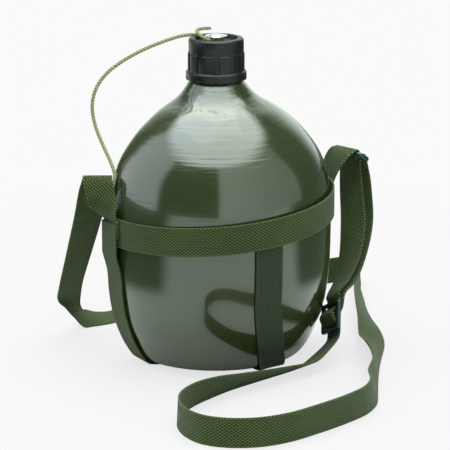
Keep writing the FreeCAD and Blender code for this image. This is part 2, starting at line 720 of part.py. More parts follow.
shoulder_stations = [
    left_station(first_layer, 104),
    left_station(first_layer, 115.4),
    left_station(first_layer, 116.9),
    station(-92.7, -7.4, 120.0, -78, 0),
    station(-94.7, -7.1, 124.0, -64, 0),
    station(-97.7, -6.7, 132.0, -32, 0),
    station(-98.3, -3.9, 140.5, -26, 0),
    station(-98.6, -1.5, 145.0, -25, 0),
    station(-98.0, 0.4, 147.6, -25, 0),
    station(-97.0, 2.8, 148.9, -25, 0),
    station(-96.0, 5.0, 147.6, -25, 0),
    station(-96.0, 7.0, 144.2, -25, 0),
    station(-95.6, 14.9, 134.5, -23, 0),
    station(-94.0, 29.7, 112, -12, 0),
    station(-92.5, 53.0, 78, 2, 0),
    station(-91.5, 75.0, 45, 13, 0),
    station(-89.0, 85.5, 32.2, 16, 0, 0.5),
    station(-84.0, 91.9, 22.3, 37, -4, 0.9),
    station(-77.2, 98.6, 13.7, 56, 8, 0.9),
    station(-68.5, 104.2, FLOOR, 74, 22, 0.8),
    station(-51.5, 107.0, FLOOR, 99, 11, 0.2),
    station(-34.0, 111.5, FLOOR, 106, 6),
    station(-12.0, 115.0, FLOOR, 105, 30),
    station(12.0, 116.5, FLOOR, 100, 68),
    station(36.0, 116.8, FLOOR, 0, 90),
    station(66.0, 117.4, FLOOR, 0, 90),
    station(104.0, 119.5, FLOOR, 0, 90),
    station(142.0, 123.5, FLOOR, 0, 90),
    station(172.0, 127.0, FLOOR, 0, 90),
    station(184.0, 126.0, FLOOR, 155, 88),
    station(189.0, 119.0, FLOOR, 155, 86),
    station(185.0, 110.0, FLOOR, 155, 84),
    station(177.0, 97.0, FLOOR, 155, 81),
    station(165.0, 72.0, FLOOR, 155, 72),
    station(152.0, 46.0, FLOOR, 155, 63),
    station(140.0, 18.0, FLOOR, 155, 52),
    station(130.0, -9.0, FLOOR, 155, 36),
    station(117.0, -38.0, FLOOR, 155, 22),
    station(99.0, -72.0, FLOOR, 155, 48),
    station(88.0, -95.0, FLOOR, 155, 68),
    station(72.0, -127.0, FLOOR, 155, 81),
    station(57.0, -151.0, FLOOR, 155, 72),
    station(47.0, -170.0, FLOOR, 155, 79),
    station(33.0, -184.5, FLOOR, 155, 86),
    station(11.0, -196.0, FLOOR, 0, 90),
    station(-18.0, -206.5, FLOOR, 0, 90),
    station(-44.0, -213.5, FLOOR, 0, 90),
    station(-67.0, -213.3, FLOOR, 0, 90),
    station(-87.0, -205.0, FLOOR, 0, 90),
    station(-99.5, -192.0, FLOOR, 0, 90),
    station(-104.0, -175.0, FLOOR, 0, 90),
    station(-102.0, -157.0, FLOOR, -69, 88),
    station(-94.0, -140.0, FLOOR, -69, 84),
    station(-82.0, -127.0, FLOOR, -69, 78),
    station(-69.0, -118.0, FLOOR, -69, 72),
    station(-54.0, -111.0, FLOOR, -69, 64),
    station(-32.0, -102.5, FLOOR, -69, 50),
    station(-8.0, -95.0, FLOOR, -69, 40),
    station(15.0, -88.0, FLOOR, -69, 33),
    station(38.0, -80.0, FLOOR, -69, 27),
    station(53.0, -72.0, 9.4, -76, 28),
    by_slider(-pitch * 1.7, 1.9),
    by_slider(-pitch - half_rail, under_rail + 0.1),
    by_slider(-rail_corner - 0.6, under_rail),
    by_slider(-rail_corner + 0.8, half_plate + 0.5),
    by_slider(-hook_along - 0.9, -hook_out - 0.2),
    by_slider(0, over_bar),
    by_slider(hook_along + 0.9, -hook_out - 0.2),
    by_slider(rail_corner - 0.8, half_plate + 0.5),
    by_slider(rail_corner + 0.6, under_rail),
    by_slider(pitch + half_rail, under_rail + 0.1),
    by_slider(pitch * 1.7, 1.9),
    station(89.3, -39.6, 56.0, -81, 21),
    station(100.7, -30.4, 71.5, -71, 9),
    station(109.0, -19.6, 94.6, -60, 0),
    station(111.9, -10.6, 118.1, -66, 0),
    station(114.0, -4.6, 135.0, -71, 0),
    by_ring(ring_low_bar, 180),
    by_ring(ring_low_bar, 135),
    by_ring(ring_low_bar, 90),
    by_ring(ring_low_bar, 45),
    by_ring(ring_low_bar, 0),
    station(122.8, -1.4, 133.0, -70, 0),
    station(122.6, -5.6, 117.0, -66, 0),
    station(119.6, -12.6, 94.0, -60, 0),
    station(107.6, -26.8, 69.0, -71, 9),
    station(95.0, -38.6, 53.0, -81, 21),
    by_slider(pitch * 1.6, outside_rail + 0.9),
    by_slider(pitch, outside_rail),
    by_slider(pitch * 0.55, outside_rail - 0.9),
    by_slider(hook_along, hook_out + 0.4),
    by_slider(0, hook_out),
    by_slider(-hook_along * hook_diagonal, hook_out * hook_diagonal),
    by_slider(-hook_along, 0),
    by_slider(-hook_along * hook_diagonal, -hook_out * hook_diagonal),
    by_slider(0, -hook_out),
    by_slider(hook_along * 0.7, -hook_out),
]
shoulder_strap = ribbon("shoulder_strap", shoulder_stations)

# Short strap: sewn on at the right and folded round the ring's upper bar

short_stations = [
    station(second_layer, 0, 112, -90, 0),
    station(second_layer, 0, 119.5, -90, 0),
    station(second_layer, 0, 121.5, -90, 0),
    station(95.4, -1.6, 131, -90, -14),
    station(97.0, -4.2, 139, -88, -20),
    station(99.8, -6.8, 146, -83, -17),
    station(103.8, -7.5, 150.2, -76, -8),
    station(107.0, -6.7, 151.6, -72, -2),
    by_ring(ring_high_bar, 90),
    by_ring(ring_high_bar, 45),
    by_ring(ring_high_bar, 0),
    by_ring(ring_high_bar, -45),
    by_ring(ring_high_bar, -90),
    by_ring(ring_high_bar, -118),
]
short_strap = ribbon("short_strap", short_stations)

# Bar ring and slider


def frame_placement(centre, across, along):
    """Placement whose X runs across the strap, Y along it and Z out of the fitting's plane."""
    out = across.cross(along)
    return Placement(Matrix(across.x, along.x, out.x, centre.x,
                            across.y, along.y, out.y, centre.y,
                            across.z, along.z, out.z, centre.z,
                            0, 0, 0, 1))


def minus(expression):
    """Expression with the opposite value, term by term."""
    flipped = expression.replace(" + ", " # ").replace(" - ", " + ").replace(" # ", " - ")
    return "-1*" + flipped


def flat_outline(body, name, half_x, half_y, middle="0"):
    """Rectangle about the fitting's centre, or about a point above or below it."""
    low = minus(half_y)
    high = half_y
    if middle != "0":
        low = middle + " + " + minus(half_y)
        high = middle + " + " + half_y
    return bound_outline(body, name, "XY_Plane", [
        (minus(half_x), low), (half_x, low), (half_x, high), (minus(half_x), high)])


def plate(body, name, sketch, thickness):
    pad = body.newObject("PartDesign::Pad", name)
    pad.Profile = sketch
    pad.setExpression("Length", thickness)
    pad.Midplane = True
    doc.recompute()
    return pad


def window(body, name, sketch, thickness):
    pocket = body.newObject("PartDesign::Pocket", name)
    pocket.Profile = sketch
    pocket.setExpression("Length", "3*" + thickness)
    pocket.Midplane = True
    doc.recompute()
    return pocket


def upright_edges(feature, half_x, half_y):
    """Edges through the plate's thickness at its four outer corners."""
    found = []
    for number, edge in enumerate(feature.Shape.Edges, start=1):
        box = edge.BoundBox
        if box.XLength > 0.01 or box.YLength > 0.01:
            continue
        if abs(abs(box.XMin) - half_x) < 0.01 and abs(abs(box.YMin) - half_y) < 0.01:
            found.append("Edge%d" % number)
    return found


ring = new_body("strap_ring")
ring_half_x = "0.5*" + s("ring_inner_width") + " + " + s("ring_rod")
ring_half_y = "0.5*" + s("ring_pitch") + " + 0.5*" + s("ring_rod")
ring_plate = plate(ring, "ring_plate", flat_outline(ring, "ring_outline", ring_half_x, ring_half_y), s("ring_rod"))
ring_window = window(
    ring, "ring_window",
    flat_outline(ring, "ring_window_outline", "0.5*" + s("ring_inner_width"),
                 "0.5*" + s("ring_pitch") + " - 0.5*" + s("ring_rod")),
    s("ring_rod"))
ring_corners = round_edges(
    ring, ring_window,
    upright_edges(ring_window, size("ring_inner_width") / 2 + size("ring_rod"),
                  (size("ring_pitch") + size("ring_rod")) / 2),
    "ring_corners", "0.95*" + s("ring_rod"))


def long_bar_edges(feature, half_length):
    """Straight edges that run along the bars."""
    found = []
    for number, edge in enumerate(feature.Shape.Edges, start=1):
        box = edge.BoundBox
        if box.YLength < 0.01 and box.ZLength < 0.01 and box.XLength > half_length:
            found.append("Edge%d" % number)
    return found


ring_round = round_edges(ring, ring_corners, long_bar_edges(ring_corners, size("ring_inner_width") / 2),
                         "ring_round", "0.45*" + s("ring_rod"))
ring.Tip = ring_round
ring.Placement = frame_placement((ring_low_bar + ring_high_bar) * 0.5, ring_across, ring_along)

slider = new_body("strap_slider")
slider_half_x = "0.5*" + s("slider_inner_width") + " + " + s("slider_rail")
slider_half_y = s("slider_pitch") + " + 0.5*" + s("slider_rail")
slider_plate = plate(slider, "slider_plate",
                     flat_outline(slider, "slider_outline", slider_half_x, slider_half_y), s("slider_thickness"))
slot_half_y = "0.5*" + s("slider_pitch") + " - 0.5*" + s("slider_rail")
for slot_name, slot_middle in (("slot_low", "-0.5*" + s("slider_pitch")), ("slot_high", "0.5*" + s("slider_pitch"))):
    slider_slot = window(
        slider, slot_name,
        flat_outline(slider, slot_name + "_outline", "0.5*" + s("slider_inner_width"), slot_half_y, slot_middle),
        s("slider_thickness"))
slider_corners = round_edges(
    slider, slider_slot,
    upright_edges(slider_slot, size("slider_inner_width") / 2 + size("slider_rail"),
                  size("slider_pitch") + size("slider_rail") / 2),
    "slider_corners", s("slider_corner"))
slider_soft = round_edges(slider, slider_corners,
                          long_bar_edges(slider_corners, size("slider_inner_width") / 2 - 1),
                          "slider_soft", "0.25*" + s("slider_thickness"))
slider.Tip = slider_soft
slider.Placement = frame_placement(slider_centre, slider_across, slider_along)

# Cap cord: plain round cord on straight runs joined by tangent arcs

cord_radius = size("cord_diameter") / 2
loop_height = recess_floor + cord_radius + size("cord_loop_gap")
loop_radius = size("rivet_shank_radius") + size("cord_loop_gap") + cord_radius


def rounded_path(points, label):
    """Wire of straight runs and tangent arcs, each arc as large as its two runs allow."""
    edges = []
    start = points[0]
    radii = []
    for before_point, corner, after_point in zip(points, points[1:], points[2:]):
        arriving = corner - before_point
        leaving = after_point - corner
        shorter = min(arriving.Length, leaving.Length)
        arriving.normalize()
        leaving.normalize()
        half_turn = arriving.getAngle(leaving) / 2
        setback = 0.45 * shorter
        radii.append(setback / math.tan(half_turn))
        arc_start = corner - arriving * setback
        arc_end = corner + leaving * setback
        bisector = (leaving - arriving).normalize()
        to_centre = radii[-1] / math.cos(half_turn)
        middle = corner + bisector * (to_centre - radii[-1])
        edges.append(Part.LineSegment(start, arc_start).toShape())
        edges.append(Part.Arc(arc_start, middle, arc_end).toShape())
        start = arc_end
    edges.append(Part.LineSegment(start, points[-1]).toShape())
    print(label, "radii in diameters", [round(radius / (2 * cord_radius), 1) for radius in radii])
    return Part.Wire(edges)


def cord_solid(label, points):
    path = rounded_path(points, label)
    first = (points[1] - points[0]).normalize()
    section = Part.Wire([Part.makeCircle(cord_radius, points[0], first)])
    feature = doc.addObject("Part::Feature", label)
    feature.Shape = path.makePipeShell([section], True, False)
    feature.Label = label
    expected = math.pi * cord_radius ** 2 * path.Length
    print(label, "length", round(path.Length, 1), "volume share", round(feature.Shape.Volume / expected, 3))
    return feature


cord_joint = Vector(-18.5, 5.2, 250.1)
band_end = -band_outer_half_width + thick / 2 - 0.45     # the cord's end stands on the band's upper edge
band_top = Vector(band_end, 0.8, band_top_at(band_end))
band_down = Vector(math.sin(tilt), 0, -math.cos(tilt))
CORD_ROUTE = [
    (-25.0, 6.1, 250.1), (-37.5, 9.8, 246.4), (-53.0, 15.0, 240.2), (-68.0, 20.4, 231.8),
    (-80.5, 24.5, 222.2), (-88.8, 26.4, 210.2), (-92.2, 25.0, 197.0), (-91.4, 20.4, 183.6),
    (-88.6, 13.2, 171.0), (-86.0, 5.2, 160.5), (-84.8, -2.4, 151.0), (-86.2, -4.1, 145.5),
    (-88.3, -3.6, 139.0), (-89.8, -1.1, 131.5),
]
cap_cord = cord_solid(
    "cap_cord",
    [cord_joint] + [Vector(*point) for point in CORD_ROUTE] + [band_top - band_down * 6.5, band_top])

LOOP_ROUTE = [
    (-13.95, 4.57, 250.1), (-8.6, 4.9, loop_height),
    (loop_radius, loop_radius, loop_height), (loop_radius, -loop_radius, loop_height),
    (-8.6, -4.2, loop_height), (-13.4, -2.0, 249.6), (-15.6, 2.4, 253.2), (-11.0, 5.4, 254.3),
    (-2.2, 5.2, 253.8),
]
cord_loop = cord_solid("cord_loop", [cord_joint] + [Vector(*point) for point in LOOP_ROUTE])

# Check every object, then write one file for each piece

doc.recompute()
for item in doc.Objects:
    if "Invalid" in item.State or "Error" in item.State:
        raise RuntimeError("%s is %s" % (item.Name, item.State))

PIECES = [bottle, cap, liner, washer, rivet, cord_loop, cap_cord, band, front_strap, side_strap,
          shoulder_strap, short_strap, ring, slider]
for piece in PIECES:
    if piece.Shape.isNull() or not piece.Shape.isValid():
        raise RuntimeError(piece.Label + " has no valid shape")
    piece.Shape.exportStep("parts/%s.step" % piece.Label)
    box = piece.Shape.BoundBox
    print("%-16s %9.0f mm3 %d solids  x %.1f %.1f  y %.1f %.1f  z %.1f %.1f" % (
        piece.Label, piece.Shape.Volume, len(piece.Shape.Solids),
        box.XMin, box.XMax, box.YMin, box.YMax, box.ZMin, box.ZMax))
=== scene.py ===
import math

import bmesh
import bpy
from mathutils import Matrix, Vector


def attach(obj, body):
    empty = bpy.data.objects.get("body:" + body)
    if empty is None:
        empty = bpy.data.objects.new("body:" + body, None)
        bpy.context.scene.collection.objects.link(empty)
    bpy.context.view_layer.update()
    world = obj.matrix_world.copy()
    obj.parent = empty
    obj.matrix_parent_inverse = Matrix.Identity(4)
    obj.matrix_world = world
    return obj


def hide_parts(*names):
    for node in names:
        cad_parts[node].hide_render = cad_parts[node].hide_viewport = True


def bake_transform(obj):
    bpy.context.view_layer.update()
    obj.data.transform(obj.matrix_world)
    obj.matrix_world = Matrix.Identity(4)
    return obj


# %% [markdown]
# This lesson dresses a water canteen: a D-shaped aluminium body painted green, a black screw cap that
# hangs on a twisted cord, and a harness and shoulder strap of green webbing. The plain solids come from
# CAD and are already in place. Lengths are in metres, +Z is up and the rounded front faces -Y.

# %% Load the frame
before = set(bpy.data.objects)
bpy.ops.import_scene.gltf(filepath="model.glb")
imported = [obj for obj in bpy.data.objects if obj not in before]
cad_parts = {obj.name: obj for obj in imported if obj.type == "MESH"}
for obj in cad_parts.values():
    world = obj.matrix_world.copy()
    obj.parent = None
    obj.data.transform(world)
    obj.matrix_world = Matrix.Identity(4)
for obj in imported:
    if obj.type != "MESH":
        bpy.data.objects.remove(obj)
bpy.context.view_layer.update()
MM = 0.001


def deselect_everything():
    if bpy.context.mode != "OBJECT":
        bpy.ops.object.mode_set(mode="OBJECT")
    bpy.ops.object.select_all(action="DESELECT")


def select_only(thing):
    deselect_everything()
    bpy.context.view_layer.objects.active = thing
    thing.select_set(True)


def new_object(name, data):
    thing = bpy.data.objects.new(name, data)
    bpy.context.scene.collection.objects.link(thing)
    return thing


deselect_everything()

# %% [markdown]
# The camera stands 1.9 metres away, a little to the left and above, with a long lens, so the canteen
# shows almost no perspective. Its place was worked out from the outlines in the photograph.

# %% Camera
VIEW_TURN = math.radians(-25.1)
VIEW_RISE = math.radians(14.9)
VIEW_DISTANCE = 1.871
LOOKED_AT_RIGHT = 0.0067
LOOKED_AT_HEIGHT = 0.1007
HALF_PICTURE_PIXELS = 225
FOCAL_LENGTH_PIXELS = 2425.4
back = Vector((math.sin(VIEW_TURN) * math.cos(VIEW_RISE), -math.cos(VIEW_TURN) * math.cos(VIEW_RISE),
               math.sin(VIEW_RISE)))
right = Vector((math.cos(VIEW_TURN), math.sin(VIEW_TURN), 0))
up = back.cross(right)
looked_at = right * LOOKED_AT_RIGHT + Vector((0, 0, LOOKED_AT_HEIGHT))
lens = bpy.data.cameras.new("product_camera")
lens.sensor_fit = "HORIZONTAL"
lens.angle = 2 * math.atan(HALF_PICTURE_PIXELS / FOCAL_LENGTH_PIXELS)
lens.clip_end = 20
camera = new_object("product_camera", lens)
camera.matrix_world = Matrix.Translation(looked_at + back * VIEW_DISTANCE) @ Matrix(
    (right, up, back)).transposed().to_4x4()
bpy.context.scene.camera = camera
bpy.context.scene.view_settings.view_transform = "Standard"

# %% [markdown]
# A material is built from small node chains. These helpers start one with plain values on its Principled
# shader, and add the nodes for sums, mixes, noise and bumps that the materials share.


# %% Material helpers
def add_node(tree, kind, **settings):
    node = tree.nodes.new(kind)
    for name, value in settings.items():
        setattr(node, name, value)
    return node


def math_node(tree, operation, first, second=None, third=None):
    node = add_node(tree, "ShaderNodeMath", operation=operation)
    for socket, value in zip(node.inputs, (first, second, third)):
        if value is None:
            continue
        if isinstance(value, (int, float)):
            socket.default_value = value
        else:
            tree.links.new(value, socket)
    return node.outputs[0]


def mix_colour(tree, share, first, second):
    node = add_node(tree, "ShaderNodeMix", data_type="RGBA")
    for socket, value in ((node.inputs[0], share), (node.inputs[6], first), (node.inputs[7], second)):
        if isinstance(value, (int, float)):
            socket.default_value = value
        elif isinstance(value, tuple):
            socket.default_value = (*value, 1)
        else:
            tree.links.new(value, socket)
    return node.outputs[2]


def start_material(name, **values):
    material = bpy.data.materials.new(name)
    material.use_nodes = True
    shader = material.node_tree.nodes["Principled BSDF"]
    for socket, value in values.items():
        shader.inputs[socket.replace("_", " ")].default_value = value
    return material, material.node_tree, shader


def noise(tree, vector, scale, detail=2.0, roughness=0.5):
    node = add_node(tree, "ShaderNodeTexNoise")
    node.inputs["Scale"].default_value = scale
    node.inputs["Detail"].default_value = detail
    node.inputs["Roughness"].default_value = roughness
    tree.links.new(vector, node.inputs["Vector"])
    return node.outputs["Fac"]


def ramp(tree, value, low, high):
    """Zero below low, one above high, and smooth between."""
    node = add_node(tree, "ShaderNodeMapRange", interpolation_type="SMOOTHSTEP")
    node.inputs["From Min"].default_value = low
    node.inputs["From Max"].default_value = high
    tree.links.new(value, node.inputs["Value"])
    return node.outputs["Result"]


def bump(tree, shader, height, strength, distance):
    node = add_node(tree, "ShaderNodeBump")
    node.inputs["Strength"].default_value = strength
    node.inputs["Distance"].default_value = distance
    tree.links.new(height, node.inputs["Height"])
    tree.links.new(node.outputs["Normal"], shader.inputs["Normal"])


def scaled(tree, value, factor):
    return math_node(tree, "MULTIPLY", value, factor)


def added(tree, *values):
    total = values[0]
    for value in values[1:]:
        total = math_node(tree, "ADD", total, value)
    return total


def object_place(tree):
    """Position on the object, in metres."""
    return add_node(tree, "ShaderNodeTexCoord").outputs["Object"]


def split(tree, vector):
    """X, Y and Z of a vector as three sockets."""
    apart = add_node(tree, "ShaderNodeSeparateXYZ")
    tree.links.new(vector, apart.inputs[0])
    return apart.outputs


def set_colour(tree, shader, share, dark, light):
    tree.links.new(mix_colour(tree, share, dark, light), shader.inputs["Base Color"])


def set_roughness(tree, shader, value, spread, least):
    tree.links.new(added(tree, scaled(tree, value, spread), least), shader.inputs["Roughness"])


# %% [markdown]
# The paint is a thick dark green gloss. On the shoulder faint level lines are left from spinning the
# sheet, and under the neck the paint has run into small ripples. Both are only heights for a Bump node,
# so the reflections bend while the colour stays even.


# %% Green paint
def make_paint():
    material, tree, shader = start_material(
        "green_gloss_paint", Roughness=0.2, Coat_Weight=1.0, Coat_Roughness=0.04, Metallic=0.0)
    place = object_place(tree)
    parts = split(tree, place)
    height = parts["Z"]
    lines = add_node(tree, "ShaderNodeCombineXYZ")
    tree.links.new(height, lines.inputs["Z"])
    for axis in ("X", "Y"):
        tree.links.new(scaled(tree, parts[axis], 0.05), lines.inputs[axis])
    spun = noise(tree, lines.outputs[0], 420.0, 2.0)
    on_shoulder = math_node(tree, "MULTIPLY", ramp(tree, height, 0.115, 0.165), spun)
    runs = noise(tree, place, 90.0, 2.0)
    by_neck = math_node(tree, "MULTIPLY", ramp(tree, height, 0.186, 0.205), runs)
    peel = noise(tree, place, 260.0, 1.0)
    waves = noise(tree, place, 22.0, 1.0)
    total = added(tree, scaled(tree, on_shoulder, 1.3), scaled(tree, by_neck, 5.0), scaled(tree, peel, 0.06),
                  scaled(tree, waves, 3.5))
    bump(tree, shader, total, 0.5, 0.0006)
    tone = noise(tree, place, 14.0, 3.0)
    set_colour(tree, shader, tone, (0.0205, 0.0285, 0.0095), (0.0265, 0.0355, 0.0125))
    dust = noise(tree, place, 55.0, 4.0, 0.6)
    set_roughness(tree, shader, dust, 0.08, 0.14)
    return material


green_paint = make_paint()

# %% [markdown]
# The webbing is a stout basket weave: short raised stitches in rows across the strap, each row half a
# stitch apart from the next, and a braided edge on both sides. Its pattern follows the strap's own UV
# map, which holds metres along and across the strap, so it keeps its size round every fold. Its colour
# is painted shade in the low gaps between stitches and painted highlight on the stitch tops and edge loops.


# %% Webbing weave as a shared group
ROW_WIDTH = 1.15
STITCH_LENGTH = 3.1
STITCH_LEAN = 0.22
MIDDLE_ACROSS = 11.5


def make_weave_group():
    """Height of the weave, and a colour share that paints shade into the gaps between stitches and highlight
    on their tops and edge loops, from millimetres along and across the strap.
    """
    tree = bpy.data.node_groups.new("webbing_weave", "ShaderNodeTree")
    for name, way in (("Along", "INPUT"), ("Across", "INPUT"), ("Height", "OUTPUT"), ("Shade", "OUTPUT")):
        tree.interface.new_socket(name, in_out=way, socket_type="NodeSocketFloat")
    given = tree.nodes.new("NodeGroupInput")
    result = tree.nodes.new("NodeGroupOutput")
    along = given.outputs["Along"]
    across = given.outputs["Across"]
    row = math_node(tree, "DIVIDE", across, ROW_WIDTH)
    in_row = math_node(tree, "FRACT", row)
    odd = scaled(tree, math_node(tree, "FLOOR", row), 0.5)
    run = added(tree, math_node(tree, "DIVIDE", along, STITCH_LENGTH), odd, scaled(tree, in_row, STITCH_LEAN))
    in_run = math_node(tree, "FRACT", run)
    hump_across = math_node(tree, "POWER", math_node(tree, "SINE", scaled(tree, in_row, math.pi)), 0.5)
    hump_along = math_node(tree, "POWER", math_node(tree, "SINE", scaled(tree, in_run, math.pi)), 0.55)
    stitch = math_node(tree, "MULTIPLY", hump_across, hump_along)
    thread = math_node(tree, "SINE", added(tree, scaled(tree, along, 14.0), scaled(tree, across, 9.0)))
    from_middle = math_node(tree, "ABSOLUTE", math_node(tree, "SUBTRACT", across, MIDDLE_ACROSS))
    on_edge = ramp(tree, from_middle, 9.9, 10.2)
    loops = math_node(tree, "ABSOLUTE", math_node(tree, "SINE", scaled(tree, along, 1.6)))
    inside = math_node(tree, "MULTIPLY", stitch, math_node(tree, "SUBTRACT", 1.0, on_edge))
    stitch = added(tree, inside, math_node(tree, "MULTIPLY", loops, on_edge))
    tree.links.new(added(tree, stitch, scaled(tree, thread, 0.05)), result.inputs["Height"])
    # Low gaps get the dark colour as painted shade, stitch tops and edge loops the light one as painted
    # highlight
    tree.links.new(ramp(tree, stitch, 0.45, 0.95), result.inputs["Shade"])
    return tree


weave_group = make_weave_group()


# %% Webbing material
def make_webbing(name, dark, light):
    material, tree, shader = start_material(name, Roughness=0.85, Specular_IOR_Level=0.25, Sheen_Weight=0.12,
                                            Sheen_Roughness=0.4)
    uv = add_node(tree, "ShaderNodeUVMap", uv_map="strap").outputs[0]
    parts = split(tree, uv)
    weave = tree.nodes.new("ShaderNodeGroup")
    weave.node_tree = weave_group
    tree.links.new(scaled(tree, parts["X"], 1000.0), weave.inputs["Along"])
    tree.links.new(scaled(tree, parts["Y"], 1000.0), weave.inputs["Across"])
    place = object_place(tree)
    fuzz = noise(tree, place, 900.0, 2.0)
    patch = noise(tree, place, 30.0, 3.0)
    fuzzy = added(tree, scaled(tree, fuzz, 0.5), 0.7)
    patchy = scaled(tree, math_node(tree, "SUBTRACT", patch, 0.5), 0.3)
    shade = added(tree, math_node(tree, "MULTIPLY", weave.outputs["Shade"], fuzzy), patchy)
    # The dark colour is painted shade in the weave's gaps and the light one painted highlight on its
    # stitches; the noise adds random tone
    set_colour(tree, shader, shade, dark, light)
    bump(tree, shader, added(tree, weave.outputs["Height"], scaled(tree, fuzz, 0.12)), 0.9, 0.0005)
    return material


webbing = make_webbing("green_webbing", (0.004, 0.0085, 0.003), (0.088, 0.125, 0.032))
shaded_webbing = make_webbing("shaded_webbing", (0.003, 0.0065, 0.0035), (0.052, 0.08, 0.036))

# %% [markdown]
# The cap is black plastic with a fine satin grain, the ring and slider a dark teal one. The rivet is polished
# aluminium, the liner is a pale rubber disc, and the cord is spun from pale green yarn.


# %% Black plastic
def make_black_plastic():
    material, tree, shader = start_material("black_plastic", Roughness=0.32, Specular_IOR_Level=0.3)
    place = object_place(tree)
    grain = noise(tree, place, 1500.0, 2.0)
    tone = noise(tree, place, 40.0, 3.0)
    set_colour(tree, shader, tone, (0.0052, 0.0058, 0.0072), (0.0085, 0.0095, 0.012))
    set_roughness(tree, shader, tone, 0.14, 0.27)
    bump(tree, shader, grain, 0.1, 0.0001)
    return material


black_plastic = make_black_plastic()


def make_teal_plastic():
    material, tree, shader = start_material("teal_plastic", Roughness=0.25)
    tone = noise(tree, object_place(tree), 60.0, 3.0)
    set_colour(tree, shader, tone, (0.006, 0.028, 0.027), (0.010, 0.042, 0.039))
    set_roughness(tree, shader, tone, 0.12, 0.19)
    return material


teal_plastic = make_teal_plastic()


# %% Rivet metal, rubber and yarn
def make_rivet_metal():
    material, tree, shader = start_material("rivet_metal", Metallic=1.0, Roughness=0.18)
    scuff = noise(tree, object_place(tree), 600.0, 4.0, 0.6)
    set_colour(tree, shader, scuff, (0.62, 0.62, 0.64), (0.8, 0.8, 0.82))
    set_roughness(tree, shader, scuff, 0.2, 0.1)
    return material


def make_rubber():
    material, tree, shader = start_material("seal_rubber", Roughness=0.7)
    tone = noise(tree, object_place(tree), 300.0, 2.0)
    set_colour(tree, shader, tone, (0.5, 0.48, 0.45), (0.6, 0.58, 0.55))
    return material


def make_yarn():
    material, tree, shader = start_material("cord_yarn", Roughness=0.8, Sheen_Weight=0.2,
                                            Specular_IOR_Level=0.3)
    fibre = noise(tree, object_place(tree), 1600.0, 3.0, 0.6)
    set_colour(tree, shader, ramp(tree, fibre, 0.3, 0.7), (0.13, 0.14, 0.06), (0.36, 0.37, 0.2))
    bump(tree, shader, fibre, 0.4, 0.0002)
    return material


rivet_metal = make_rivet_metal()
seal_rubber = make_rubber()
cord_yarn = make_yarn()


def dress_node(name, material):
    """Gives a CAD node that the picture keeps its material."""
    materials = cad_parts[name].data.materials
    materials.clear()
    materials.append(material)


dress_node("cap_seal", seal_rubber)
for node_name in ("cap_washer", "cap_rivet"):
    dress_node(node_name, rivet_metal)
for node_name in ("strap_ring", "strap_slider"):
    dress_node(node_name, teal_plastic)

# %% [markdown]
# Straps are flat ribbons that keep their width whatever way they turn. Each is laid through stations:
# a centre point, and the heading and slope of the line across the strap. A smooth curve joins them, and
# a rounded section is set along it. The UV map counts metres along and across the strap.

# %% Ribbon maker
WEBBING_WIDTH = 22.0
WEBBING_THICKNESS = 1.4
RIBBON_PACE = 1.6
FLOOR = None
FLOOR_ROOM = 0.1


def width_direction(turn, lean):
    flat = math.cos(math.radians(lean))
    return Vector((flat * math.cos(math.radians(turn)), flat * math.sin(math.radians(turn)),
                   math.sin(math.radians(lean))))


def station(x, y, z, turn, lean, slant=0.0):
    """Centre of the strap, direction across it, and how much of a slant to its run is kept."""
    across = width_direction(turn, lean)
    if z is FLOOR:
        level = math.hypot(across.x, across.y)
        z = abs(across.z) * WEBBING_WIDTH / 2 + level * WEBBING_THICKNESS / 2 + FLOOR_ROOM
    return Vector((x, y, z)), across, slant


def curve_slope(values, knots, k):
    last = len(values) - 1
    if k == 0 or k == last:
        first = 0 if k == 0 else last - 1
        return (values[first + 1] - values[first]) / (knots[first + 1] - knots[first])
    before = knots[k] - knots[k - 1]
    after = knots[k + 1] - knots[k]
    return ((values[k] - values[k - 1]) / before * after
            + (values[k + 1] - values[k]) / after * before) / (before + after)


def curve_value(values, knots, i, at):
    step = knots[i + 1] - knots[i]
    share = (at - knots[i]) / step
    square = share * share
    cube = square * share
    return (values[i] * (2 * cube - 3 * square + 1)
            + curve_slope(values, knots, i) * (step * (cube - 2 * square + share))
            + values[i + 1] * (3 * square - 2 * cube)
            + curve_slope(values, knots, i + 1) * (step * (cube - square)))


def lengths_along(points):
    """Distance travelled at each point of a line."""
    travelled = [0.0]
    for first, second in zip(points, points[1:]):
        travelled.append(travelled[-1] + (second - first).length)
    return travelled


def ribbon_line(stations):
    """Centre points, width directions and face normals along a strap, in millimetres."""
    points = [entry[0] for entry in stations]
    sides = [entry[1] for entry in stations]
    slants = [entry[2] for entry in stations]
    knots = [0.0]
    for first, second in zip(points, points[1:]):
        knots.append(knots[-1] + math.sqrt((second - first).length))
    line = []
    for i in range(len(points) - 1):
        pieces = max(3, math.ceil((points[i + 1] - points[i]).length / RIBBON_PACE))
        for j in range(pieces):
            at = knots[i] + (knots[i + 1] - knots[i]) * j / pieces
            slant = slants[i] + (slants[i + 1] - slants[i]) * j / pieces
            line.append((curve_value(points, knots, i, at), curve_value(sides, knots, i, at), slant))
    line.append((points[-1], sides[-1], slants[-1]))
    result = []
    for number, (point, side, slant) in enumerate(line):
        ahead = line[min(number + 1, len(line) - 1)][0]
        behind = line[max(number - 1, 0)][0]
        along = (ahead - behind).normalized()
        across = (side - along * (side.dot(along) * (1.0 - slant))).normalized()
        normal = along.cross(across).normalized()
        least = abs(across.z) * WEBBING_WIDTH / 2 + abs(normal.z) * WEBBING_THICKNESS / 2
        result.append((Vector((point.x, point.y, max(point.z, least))), across, normal))
    return result


def section_points():
    """Outline of the webbing's section: flat faces, a thin groove by each edge, and round edges."""
    half = WEBBING_WIDTH / 2
    thin = WEBBING_THICKNESS / 2
    upper = []
    for share, rise in ((1.0, 0.45), (0.965, 1.0), (0.93, 1.0), (0.90, 0.86), (0.6, 1.0), (0.2, 1.0)):
        upper.append((share * half, rise * thin))
    upper += [(-x, y) for x, y in reversed(upper)]
    return upper + [(x, -y) for x, y in reversed(upper)]


SECTION = section_points()


